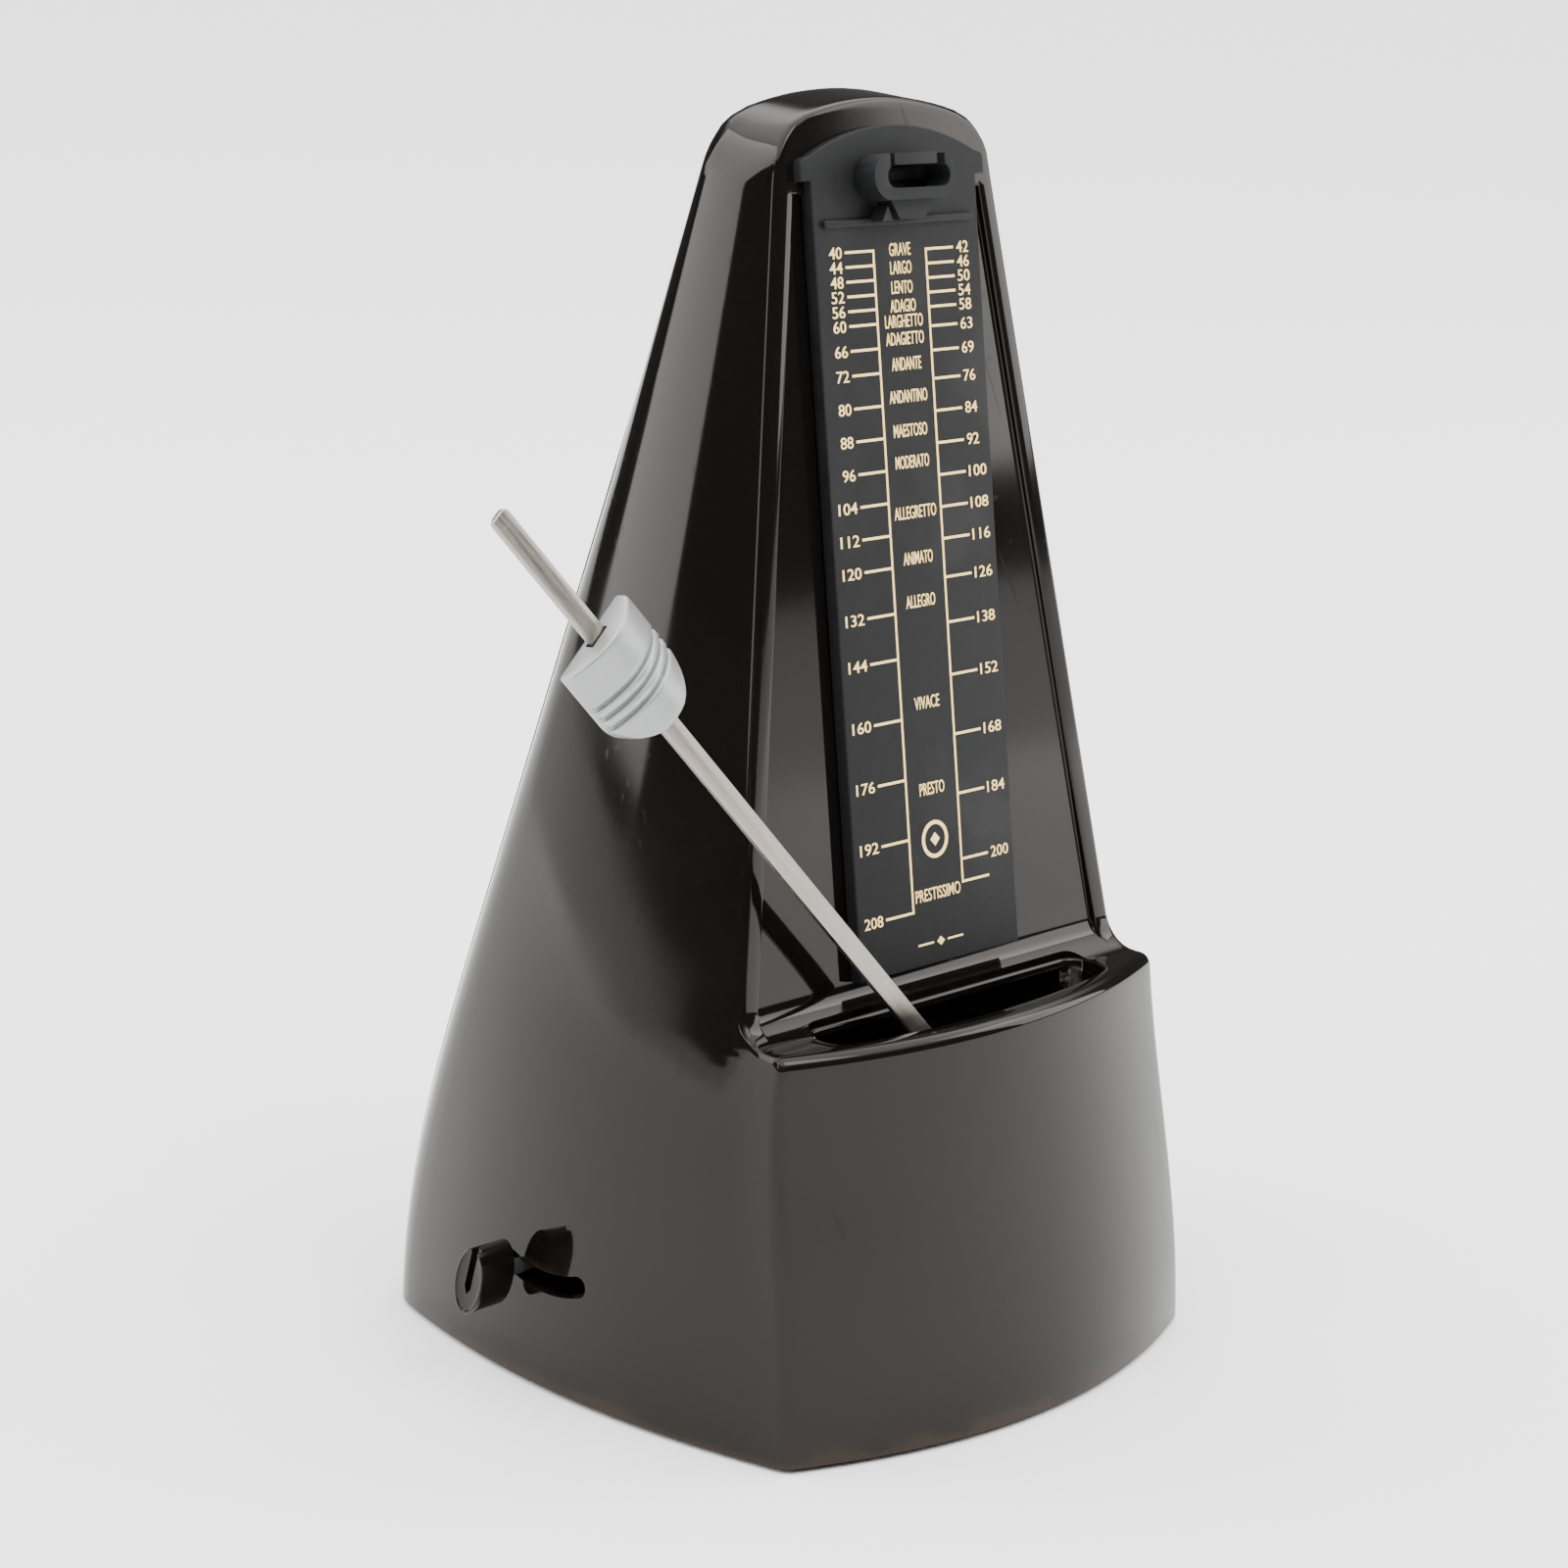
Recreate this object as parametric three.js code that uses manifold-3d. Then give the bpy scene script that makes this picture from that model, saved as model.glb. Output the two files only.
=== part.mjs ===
// Pyramid metronome with a clockwork movement, built as separate pieces.
// Millimetres, +Z up, the scale faces -Y. The origin is on the floor, under the middle of the base.
import * as THREE from "three";
import Module from "manifold-3d";
import { mergeVertices } from "three/addons/utils/BufferGeometryUtils.js";

const wasm = await Module();
wasm.setup();

// ---------------------------------------------------------------- driving dimensions
const GAP = 0.3; // between pieces that touch
const RUNNING = 0.3; // radial, between a shaft and its hole

// Case: half widths and edges at the base, at the shoulder where the flanks turn straight, and at the top
const HEIGHT = 210;
const STAND = 1; // the feet hold the case this far off the floor
const SHOULDER_Z = 66;
const SHELF_Z = 65.6;
const BASE_HALF = 48.7;
const SHOULDER_HALF = 44.9;
const TOP_HALF = 22.8;
const BASE_FRONT = 48.2;
const SHELF_FRONT = 40.6;
const BASE_REAR = 48.4;
const SHOULDER_REAR = 35.8;
const TOP_REAR = 2.3;
const FRONT_BOW_BASE = 12;
const FRONT_BOW_SHELF = 9;
const SIDE_BOW_BASE = 7.5;
const SIDE_BOW_TOP = 0.8;
const FRONT_CORNER = 2.6;
const REAR_CORNER = 7;
const WALL = 2.2;
const ROOF_RADIUS = 67;
const ROOF_SHOULDER = 0.7; // the arch turns down beyond this share of the top's half width
const ROOF_EDGE_DROP = 0.0066;
const ROOF_RISE = 0.08; // the roof climbs towards the rear by this slope
const ROOF_REAR_ROUND = 6;
const COVE = 6;

// Inclined front: everything on it shares the pendulum's plane
const TILT = THREE.MathUtils.degToRad(8);
const PIVOT_Y = -40.7;
const PIVOT_Z = 50;
const PLATE_FACE = 5; // behind the pendulum's plane
const PLATE_PROUD = 1.6; // the scale plate stands this far out of the rim
const PANEL_DEPTH = 1;
const RIM_WIDTH = 3.7;

// Slot in the shelf that the pendulum rod swings in
const ROD_SLOT_HALF = 33;
const ROD_SLOT_FRONT = -45;
const ROD_SLOT_ENDS = -41.4;
const ROD_SLOT_REAR = -33.4;
const ROD_SLOT_ROUND = 3.6;

// Scale plate, heights measured up the incline from the pendulum's pivot
const PLATE_HALF = 19.1;
const PLATE_BOTTOM = 21.8;
const HEAD_HALF = 21.2;
const HEAD_SHOULDER = 148.8;
const HEAD_SIDE = 2.4;
const HEAD_RADIUS = 43.6;
const RIB_UP = 142;
const RIB_HALF = 17.3;
const CATCH_UP = 148.8;
const CATCH_HALF = 9.4;
const CATCH_TALL = 7.3;
const CATCH_OUT = 4.5;
const POCKET_LEFT = -6.4;
const POCKET_RIGHT = 8.1;
const POCKET_TALL = 3.6;

// Pendulum
const LEAN = THREE.MathUtils.degToRad(41.4); // it rests leaning to the left by this much
const ROD_WIDTH = 3.5;
const ROD_THICK = 1;
const ROD_TIP = 139;
const ROD_TAIL = 27;
const ARBOR_RADIUS = 1.2;
const ARBOR_REAR = 27.6;
const BOB_RADIUS = 9;
const BOB_UP = -24;
const BOB_THICK = 8;
const WEIGHT_UP = 95.2; // lower end of the sliding weight, up the rod
const WEIGHT_LONG = 17.9;
const WEIGHT_HALF = 8.3;
const WEIGHT_BACK = 2;
const WEIGHT_FRONT = 4.3;
const WEIGHT_EDGE = 1.4;
const WEIGHT_ROUND = 7.2; // height of its rounded lower end
const GROOVE_DOWN = 6.7; // top of the first groove, down from the weight's flat top
const GROOVE_STEP = 2.1;
const GROOVE_WIDE = 0.9;
const GROOVE_DEEP = 1; // at the middle, fading out towards the sides
const ROD_PLAY = 0.35;

// Base
const BASE_PLATE_LOW = 1.3;
const BASE_PLATE_THICK = 3;
const FOOT_RADIUS = 6;
const FOOT_STEM = 2.2;
const FOOT_X = 31;
const FOOT_Y = 31;
const SCREW_X = 40;
const SCREW_Y = 36;
const SCREW_RADIUS = 1.2;
const SCREW_HEAD = 3;
const SCREW_LONG = 14;
const BOSS_RADIUS = 4;
const BOSS_TALL = 18;

// Movement: two frame plates, upright and square to X
const LEFT_PLATE = -16.5;
const RIGHT_PLATE = 18;
const FRAME_THICK = 1.5;
const FRAME_FRONT = -36;
const FRAME_REAR = 31;
const FRAME_TOP = 57;
const PILLAR_RADIUS = 2;

// Train: tooth counts, modules and where each arbor stands, as (y, z)
const GREAT_TEETH = 48;
const GREAT_MODULE = 0.9;
const THIRD_TEETH = 40;
const THIRD_MODULE = 0.7;
const PINION_TEETH = 8;
const ESCAPE_TEETH = 15;
const ESCAPE_RADIUS = 9;
const BARREL_AT = new THREE.Vector2(8, 36);
const THIRD_BEARING = THREE.MathUtils.degToRad(208); // from the barrel to the third arbor
const ESCAPE_BEARING = THREE.MathUtils.degToRad(135); // from the third arbor to the escape arbor
const MESH_CLEARANCE = 0.15;
const BARREL_RADIUS = 16;
const BARREL_WALL = 1.5;
const BARREL_ARBOR = 3;
const KEY_SHAFT = 2.4;
const RATCHET_TEETH = 20;
const RATCHET_RADIUS = 8;
const SPRING_TURNS = 3;
const SPRING_STRIP = 0.6;

// Winding key, outside the right wall
const KEY_START = BASE_HALF + 7.8; // where the key begins, outside the right wall
const KEY_WING_HALF = 12;
const KEY_THICK = 3.4;

// Beat selector, on the left side
const SELECTOR_Y = 1.8;
const SELECTOR_Z = 42.8;
const SELECTOR_REACH = 24;
const SELECTOR_REST = THREE.MathUtils.degToRad(15.3);
const SELECTOR_SWING = THREE.MathUtils.degToRad(30.6);
const SELECTOR_SLOT = 3.6;
const SELECTOR_NECK = 1.3;
const KNOB_TALL = 6.1;
const KNOB_WIDE = 3.2;
const KNOB_START = -BASE_HALF - 10.3; // the knob's inner face, outside the left wall
const KNOB_LONG = 7;
const POINTER_HALF = 1;
const LEVER_X = -46;
const LEVER_THICK = 1.5;

// Bell and hammer
const BELL_X = -32;
const BELL_Y = 26;
const BELL_Z = 30;
const BELL_RADIUS = 13;
const BELL_WALL = 1;
const HAMMER_Y = -4;
const HAMMER_Z = 16;

// ---------------------------------------------------------------- finishes
function finish(color, roughness, metalness) {
  return new THREE.MeshStandardMaterial({ color, roughness, metalness });
}

const smokyPlastic = finish(0x14120f, 0.08, 0);
const mattePlastic = finish(0x2a2b2d, 0.6, 0);
const steel = finish(0xb9b0a6, 0.35, 1);
const zinc = finish(0xc3c8c6, 0.5, 0.7);
const brass = finish(0xb89448, 0.35, 1);
const springSteel = finish(0x4a5058, 0.3, 1);
const nickel = finish(0xc9c9c4, 0.2, 1);
const rubber = finish(0x1b1b1b, 0.9, 0);

// ---------------------------------------------------------------- solids
const lerp = THREE.MathUtils.lerp;

// A closed geometry as a solid that can be cut and joined.
function solidOf(geometry) {
  const bare = geometry.clone();
  bare.deleteAttribute("normal");
  bare.deleteAttribute("uv");
  const merged = mergeVertices(bare, 1e-4);
  return new wasm.Manifold(
    new wasm.Mesh({
      numProp: 3,
      vertProperties: merged.attributes.position.array,
      triVerts: new Uint32Array(merged.index.array),
    }),
  );
}

function geometryOf(solid) {
  const mesh = solid.getMesh();
  const geometry = new THREE.BufferGeometry();
  geometry.setAttribute("position", new THREE.BufferAttribute(mesh.vertProperties, 3));
  geometry.setIndex(new THREE.BufferAttribute(mesh.triVerts, 1));
  geometry.computeVertexNormals();
  return geometry;
}

function cut(base, ...tools) {
  return geometryOf(tools.reduce((left, tool) => left.subtract(solidOf(tool)), solidOf(base)));
}

function join(base, ...more) {
  return geometryOf(more.reduce((sum, next) => sum.add(solidOf(next)), solidOf(base)));
}

function common(a, b) {
  return geometryOf(solidOf(a).intersect(solidOf(b)));
}

// A flat outline pushed along one axis. The outline's two coordinates are (x, y), (y, z) or (x, z).
function prism(shape, low, high, basis) {
  const settings = { depth: high - low, bevelEnabled: false, curveSegments: 8 };
  const geometry = new THREE.ExtrudeGeometry(shape, settings);
  geometry.translate(0, 0, low);
  return geometry.applyMatrix4(basis);
}

const alongX = new THREE.Matrix4().set(0, 0, 1, 0, 1, 0, 0, 0, 0, 1, 0, 0, 0, 0, 0, 1);
const alongY = new THREE.Matrix4().set(1, 0, 0, 0, 0, 0, -1, 0, 0, 1, 0, 0, 0, 0, 0, 1);
const prismX = (shape, low, high) => prism(shape, low, high, alongX);
const prismY = (shape, low, high) => prism(shape, -high, -low, alongY);
const prismZ = (shape, low, high) => prism(shape, low, high, new THREE.Matrix4());

function outline(points) {
  return new THREE.Shape(points.map(([a, b]) => new THREE.Vector2(a, b)));
}

function disc(radius, a = 0, b = 0) {
  return new THREE.Shape().absarc(a, b, radius, 0, 2 * Math.PI);
}

// A stadium: two half circles joined by straight sides, lying along the first coordinate.
function stadium(low, high, centre, radius) {
  const shape = new THREE.Shape();
  shape.absarc(high - radius, centre, radius, -Math.PI / 2, Math.PI / 2);
  shape.absarc(low + radius, centre, radius, Math.PI / 2, (3 * Math.PI) / 2);
  return shape;
}

function rod(radius, low, high, at, segments = 16) {
  const geometry = new THREE.CylinderGeometry(radius, radius, high - low, segments);
  return geometry.rotateZ(-Math.PI / 2).translate((low + high) / 2, at.x, at.y);
}

function box(x0, x1, y0, y1, z0, z1) {
  const geometry = new THREE.BoxGeometry(x1 - x0, y1 - y0, z1 - z0);
  return geometry.translate((x0 + x1) / 2, (y0 + y1) / 2, (z0 + z1) / 2);
}

// A closed skin over a pile of rings with the same number of points, each seen anticlockwise from above.
function loft(rings) {
  const count = rings[0].length;
  const points = rings.flat();
  const low = points.length;
  points.push([0, 1, 2].map((k) => rings[0].reduce((sum, p) => sum + p[k], 0) / count));
  points.push([0, 1, 2].map((k) => rings.at(-1).reduce((sum, p) => sum + p[k], 0) / count));
  const faces = [];
  const last = (rings.length - 1) * count;
  for (let i = 0; i < count; i++) {
    const j = (i + 1) % count;
    faces.push(low, j, i, low + 1, last + i, last + j);
    for (let level = 0; level < last; level += count) {
      faces.push(level + i, level + j, level + count + j, level + i, level + count + j, level + count + i);
    }
  }
  const geometry = new THREE.BufferGeometry();
  geometry.setAttribute("position", new THREE.Float32BufferAttribute(points.flat(), 3));
  return geometry.setIndex(faces);
}

// ---------------------------------------------------------------- groups
const metronome = new THREE.Group();
const incline = new THREE.Group();
incline.position.set(0, PIVOT_Y, PIVOT_Z);
incline.rotation.x = -TILT;
const pendulum = new THREE.Group();
pendulum.rotation.y = -LEAN;
incline.add(pendulum);
metronome.add(incline);

function piece(name, geometry, material, parent = metronome) {
  const mesh = new THREE.Mesh(geometry, material);
  mesh.name = name;
  parent.add(mesh);
  return mesh;
}

// ---------------------------------------------------------------- case
const RIM_FACE = PLATE_FACE + PLATE_PROUD;

// Where the rim's inclined plane lies at height z.
function rimY(z) {
  return PIVOT_Y + RIM_FACE / Math.cos(TILT) + (z - PIVOT_Z) * Math.tan(TILT);
}

// Upright at the base, then bending into a straight flank from the shoulder up.
function taper(z, base, shoulder, top) {
  const t = z / SHOULDER_Z;
  const rate = (top - shoulder) / (HEIGHT - SHOULDER_Z);
  if (t >= 1) return shoulder + rate * (z - SHOULDER_Z);
  const ease = t * t * (3 - 2 * t);
  return lerp(base, shoulder, ease) + rate * SHOULDER_Z * t * t * (t - 1);
}

// Plan outline of the case at height z, drawn in by inset.
function section(z, inset) {
  const half = taper(z, BASE_HALF, SHOULDER_HALF, TOP_HALF) - inset;
  const rear = taper(z, BASE_REAR, SHOULDER_REAR, TOP_REAR) - inset;
  const flank = z < SHOULDER_Z ? lerp(-BASE_FRONT, rimY(SHOULDER_Z), z / SHOULDER_Z) : rimY(z);
  const shelf = z < SHOULDER_Z ? -taper(z, BASE_FRONT, SHELF_FRONT, SHELF_FRONT) : rimY(z) - COVE - GAP;
  const front = shelf + inset;
  const bow = lerp(SIDE_BOW_BASE, SIDE_BOW_TOP, z / HEIGHT);
  const side = (y) => {
    const t = THREE.MathUtils.clamp((y - flank) / (rear - flank), 0, 1);
    return half + 4 * bow * t * (1 - t);
  };
  const brow = z <= SHOULDER_Z ? lerp(FRONT_BOW_BASE, FRONT_BOW_SHELF, z / SHOULDER_Z) : 0;
  const frontY = (x) => front - brow * (1 - (x / half) ** 2);
  const rearY = (x) => rear + bow * (1 - (x / half) ** 2);
  const frontCut = FRONT_CORNER;
  const rearCut = Math.min(REAR_CORNER, (rear - flank) * 0.4);
  const steps = 6;
  const points = [];
  for (let i = 0; i <= steps; i++) {
    const y = lerp(front + frontCut, rear - rearCut, i / steps);
    points.push([side(y), y]);
  }
  const rearEnd = half - rearCut;
  points.push(...corner(points.at(-1), [side(rear), rear], [rearEnd, rearY(rearEnd)]));
  for (let i = 0; i <= steps; i++) {
    const x = lerp(rearEnd, -rearEnd, i / steps);
    points.push([x, rearY(x)]);
  }
  points.push(...corner(points.at(-1), [-side(rear), rear], [-side(rear - rearCut), rear - rearCut]));
  for (let i = 0; i <= steps; i++) {
    const y = lerp(rear - rearCut, front + frontCut, i / steps);
    points.push([-side(y), y]);
  }
  const frontEnd = half - frontCut;
  points.push(...corner(points.at(-1), [-half, front], [-frontEnd, frontY(-frontEnd)]));
  for (let i = 0; i <= steps + 2; i++) {
    const x = lerp(-frontEnd, frontEnd, i / (steps + 2));
    points.push([x, frontY(x)]);
  }
  points.push(...corner(points.at(-1), [half, front], [half, front + frontCut]));
  return points.map(([x, y]) => [x, y, z]);
}

// The points inside a rounded corner, between its two ends.
function corner(from, apex, to) {
  const [a, b, c] = [from, apex, to].map(([x, y]) => new THREE.Vector2(x, y));
  const curve = new THREE.QuadraticBezierCurve(a, b, c);
  return [0.25, 0.5, 0.75].map((t) => curve.getPoint(t).toArray());
}

function pile(levels, inset) {
  return loft(levels.map((z) => section(z, inset)));
}

// Everything in front of the rim's plane and above the shelf, with the cove between them.
function frontSpace(inset) {
  const far = -2 * BASE_FRONT;
  const top = 1.5 * HEIGHT;
  const centreZ = SHELF_Z + COVE;
  const centreY = rimY(centreZ) - COVE / Math.cos(TILT);
  const radius = COVE + inset;
  const points = [[far, SHELF_Z - inset]];
  const steps = 6;
  for (let i = 0; i <= steps; i++) {
    const angle = lerp(-Math.PI / 2, -TILT, i / steps);
    points.push([centreY + radius * Math.cos(angle), centreZ + radius * Math.sin(angle)]);
  }
  points.push([rimY(top) + inset / Math.cos(TILT), top], [far, top]);
  return prismX(outline(points), -2 * BASE_HALF, 2 * BASE_HALF);
}

// Everything under the arch of the roof, which is lowered by inset and climbs to the rear.
function underArch(inset) {
  const crown = HEIGHT - inset - ROOF_RISE * (TOP_REAR - rimY(HEIGHT));
  const shoulder = TOP_HALF * ROOF_SHOULDER;
  const wide = TOP_HALF * 1.3;
  const edge = 2 * BASE_HALF;
  const floor = -HEIGHT;
  const points = [[edge, floor]];
  const steps = 24;
  for (let i = 0; i <= steps; i++) {
    const x = lerp(wide, -wide, i / steps);
    const turn = Math.max(0, Math.abs(x) - shoulder);
    const z = crown - ROOF_RADIUS + Math.sqrt(ROOF_RADIUS ** 2 - x * x) - ROOF_EDGE_DROP * turn ** 3;
    if (i === 0) points.push([edge, z]);
    points.push([x, z]);
    if (i === steps) points.push([-edge, z]);
  }
  points.push([-edge, floor]);
  const climb = new THREE.Matrix4().makeShear(0, 0, 0, ROOF_RISE, 0, 0);
  const arch = prismY(outline(points), -2 * BASE_FRONT, 2 * BASE_REAR).applyMatrix4(climb);
  return arch.translate(0, 0, -ROOF_RISE * rimY(HEIGHT));
}

// The rounded rear edge of the roof as seen from the side: everything under it.
function underRearEdge(inset) {
  const crown = HEIGHT - inset;
  const clear = SIDE_BOW_TOP * 2 - inset; // just outside the rear wall's bow
  const wall = (z) => taper(z, BASE_REAR, SHOULDER_REAR, TOP_REAR) + clear;
  const low = HEIGHT * 0.7;
  const bend = new THREE.QuadraticBezierCurve(
    new THREE.Vector2(wall(crown - ROOF_REAR_ROUND), crown - ROOF_REAR_ROUND),
    new THREE.Vector2(wall(crown), crown),
    new THREE.Vector2(wall(crown) - ROOF_REAR_ROUND, crown),
  );
  const front = -2 * BASE_FRONT;
  const back = 2 * BASE_REAR;
  const points = [[front, -HEIGHT], [back, -HEIGHT], [back, low], [wall(low), low]];
  points.push(...bend.getPoints(6).map((p) => p.toArray()), [front, crown]);
  return prismX(outline(points), -2 * BASE_HALF, 2 * BASE_HALF);
}

// The full outer form of the case, or its hollow when inset is the wall.
function pyramid(levels, inset) {
  const body = cut(pile(levels, inset), frontSpace(inset));
  return common(common(body, underArch(inset)), underRearEdge(inset));
}

// Heights of the rings: shares of the curved part's height, then of the whole height.
function ringLevels(lowest, curved, straight) {
  const low = curved.map((share) => share * SHOULDER_Z);
  const high = straight.map((share) => share * HEIGHT);
  return [lowest, ...low, SHOULDER_Z, SHOULDER_Z + 0.5, ...high, HEIGHT * 1.02];
}

const outerLevels = ringLevels(STAND, [0.15, 0.3, 0.48, 0.66, 0.85], [0.38, 0.52, 0.71, 0.9]);
const innerLevels = ringLevels(-GAP, [0.18, 0.4, 0.6, 0.82], [0.48, 0.71]);

// A shape on the inclined front, given in the incline's own axes, as geometry in the case's axes.
function onIncline(geometry) {
  incline.updateMatrixWorld(true);
  return geometry.applyMatrix4(incline.matrixWorld);
}

// The outline of the scale plate with its arched head, grown by a margin.
function plateOutline(grow) {
  const half = PLATE_HALF + grow;
  const head = HEAD_HALF + grow;
  const radius = HEAD_RADIUS + grow;
  const top = HEAD_SHOULDER + HEAD_SIDE;
  const swing = Math.asin((head - 2) / radius);
  const centre = top + 1.4 - Math.sqrt(radius ** 2 - (head - 2) ** 2);
  const shape = new THREE.Shape();
  shape.moveTo(-half, PLATE_BOTTOM - grow);
  shape.lineTo(half, PLATE_BOTTOM - grow);
  shape.lineTo(half, HEAD_SHOULDER - grow);
  shape.lineTo(head, HEAD_SHOULDER - grow);
  shape.lineTo(head, top);
  shape.quadraticCurveTo(head, top + 1.2, head - 2, top + 1.4);
  shape.absarc(0, centre, radius, Math.PI / 2 - swing, Math.PI / 2 + swing);
  shape.quadraticCurveTo(-head, top + 1.2, -head, top);
  shape.lineTo(-head, HEAD_SHOULDER - grow);
  shape.lineTo(-half, HEAD_SHOULDER - grow);
  return shape;
}

// The sunk panel of the front, which runs parallel to the rim's outer edges.
function panelOutline() {
  const low = PLATE_BOTTOM + 2;
  const high = HEAD_SHOULDER - 2;
  const heightAt = (up) => PIVOT_Z + up * Math.cos(TILT);
  const halfAt = (up) => taper(heightAt(up), BASE_HALF, SHOULDER_HALF, TOP_HALF) - RIM_WIDTH;
  return outline([[-halfAt(low), low], [halfAt(low), low], [halfAt(high), high], [-halfAt(high), high]]);
}

function screwBoss(x, y) {
  const low = BASE_PLATE_LOW + BASE_PLATE_THICK + GAP;
  const post = prismZ(disc(BOSS_RADIUS, x, y), low, low + BOSS_TALL);
  const reach = Math.sign(x) * (BASE_HALF + SIDE_BOW_BASE);
  const web = box(Math.min(x, reach), Math.max(x, reach), y - 1.5, y + 1.5, low, low + BOSS_TALL);
  const solid = common(join(post, web), pile([STAND + 1, 10, 20, 32], WALL / 2));
  return cut(solid, prismZ(disc(SCREW_RADIUS + RUNNING, x, y), low - 1, low + BOSS_TALL - 3));
}

const corners = [["front_left", -1, -1], ["front_right", 1, -1], ["rear_right", 1, 1], ["rear_left", -1, 1]];

// The curved slot that the selector's neck swings in, in the left wall.
function selectorSlot() {
  const half = SELECTOR_SLOT / 2;
  const start = -Math.PI / 2 + SELECTOR_REST - SELECTOR_SWING;
  const end = -Math.PI / 2 + SELECTOR_REST;
  const spare = 1.8 / SELECTOR_REACH;
  const shape = new THREE.Shape();
  shape.absarc(SELECTOR_Y, SELECTOR_Z, SELECTOR_REACH + half, start - spare, end + spare);
  shape.absarc(SELECTOR_Y, SELECTOR_Z, SELECTOR_REACH - half, end + spare, start - spare, true);
  return prismX(shape, -2 * BASE_HALF, LEVER_X - 2);
}

// The slot in the shelf: straight behind, bowed like the lip in front, round at its ends.
function rodSlotOutline() {
  const [end, round] = [ROD_SLOT_HALF, ROD_SLOT_ROUND];
  const shape = new THREE.Shape();
  shape.moveTo(-end + round, ROD_SLOT_REAR);
  shape.quadraticCurveTo(-end, ROD_SLOT_REAR, -end, ROD_SLOT_REAR - round);
  shape.quadraticCurveTo(-end, ROD_SLOT_ENDS, -end + round, ROD_SLOT_ENDS - 0.6);
  shape.quadraticCurveTo(0, 2 * ROD_SLOT_FRONT - ROD_SLOT_ENDS + 0.6, end - round, ROD_SLOT_ENDS - 0.6);
  shape.quadraticCurveTo(end, ROD_SLOT_ENDS, end, ROD_SLOT_REAR - round);
  shape.quadraticCurveTo(end, ROD_SLOT_REAR, end - round, ROD_SLOT_REAR);
  return shape;
}

function caseShell() {
  const rodSlot = prismZ(rodSlotOutline(), SHELF_Z - 3 * WALL, SHELF_Z + COVE);
  const panel = onIncline(prismY(panelOutline(), 0, RIM_FACE + PANEL_DEPTH));
  const seat = onIncline(prismY(plateOutline(GAP), 0, RIM_FACE + PANEL_DEPTH));
  const keyHole = rod(BARREL_ARBOR + RUNNING, 30, 2 * BASE_HALF, BARREL_AT);
  const hollow = pyramid(innerLevels, WALL);
  let shell = cut(pyramid(outerLevels, 0), hollow, rodSlot, panel, seat, keyHole, selectorSlot());
  for (const [, sx, sy] of corners) shell = join(shell, screwBoss(sx * SCREW_X, sy * SCREW_Y));
  return shell;
}

piece("case_shell", caseShell(), smokyPlastic);

// ---------------------------------------------------------------- scale plate, on the inclined front
function scalePlate() {
  const back = RIM_FACE + PANEL_DEPTH - GAP;
  const plate = prismY(plateOutline(0), PLATE_FACE, back);
  const rib = box(-RIB_HALF, RIB_HALF, PLATE_FACE - 0.8, PLATE_FACE + GAP, RIB_UP - 0.6, RIB_UP + 0.6);
  const out = PLATE_FACE - CATCH_OUT;
  const wallOutline = stadium(-CATCH_HALF, CATCH_HALF, CATCH_UP, CATCH_TALL / 2);
  const catchWall = prismY(wallOutline, out, PLATE_FACE + GAP);
  const pocketOutline = stadium(POCKET_LEFT, POCKET_RIGHT, CATCH_UP, POCKET_TALL / 2);
  const pocket = prismY(pocketOutline, out - 1, PLATE_FACE);
  const notchLeft = box(-5.6, -4.6, out - 1, PLATE_FACE, CATCH_UP, CATCH_UP + CATCH_TALL);
  const notchRight = box(5.2, 7, out - 1, PLATE_FACE, CATCH_UP, CATCH_UP + CATCH_TALL);
  const hookY = PLATE_FACE - 3;
  const under = CATCH_UP - CATCH_TALL / 2;
  const skirt = outline([[-2.6, under - 3], [3.2, under - 3], [7, under + 1], [-5, under + 1]]);
  const tab = outline([[-6.6, RIB_UP], [-4.2, RIB_UP], [-5.2, RIB_UP + 2.4]]);
  const low = [skirt, tab].map((shape) => prismY(shape, hookY, PLATE_FACE + GAP));
  return cut(join(plate, rib, catchWall, ...low), pocket, notchLeft, notchRight);
}

piece("scale_plate", scalePlate(), mattePlastic, incline);

// ---------------------------------------------------------------- base
const plateTop = BASE_PLATE_LOW + BASE_PLATE_THICK;

function basePlate() {
  const slab = pile([BASE_PLATE_LOW, plateTop], WALL + GAP);
  const holes = corners.flatMap(([, sx, sy]) => [
    prismZ(disc(SCREW_RADIUS + RUNNING, sx * SCREW_X, sy * SCREW_Y), 0, plateTop + 1),
    prismZ(disc(SCREW_HEAD + RUNNING, sx * SCREW_X, sy * SCREW_Y), 0, BASE_PLATE_LOW + BASE_PLATE_THICK / 2),
    prismZ(disc(FOOT_STEM + RUNNING, sx * FOOT_X, sy * FOOT_Y), 0, plateTop + 1),
  ]);
  return cut(slab, ...holes);
}

// Round pieces standing on Z: a profile of (radius, height) pairs that starts and ends on the axis.
function turned(profile, segments = 24) {
  const points = profile.map(([r, z]) => new THREE.Vector2(r, z));
  return new THREE.LatheGeometry(points, segments).rotateX(Math.PI / 2);
}

piece("base_plate", basePlate(), mattePlastic);

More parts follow.
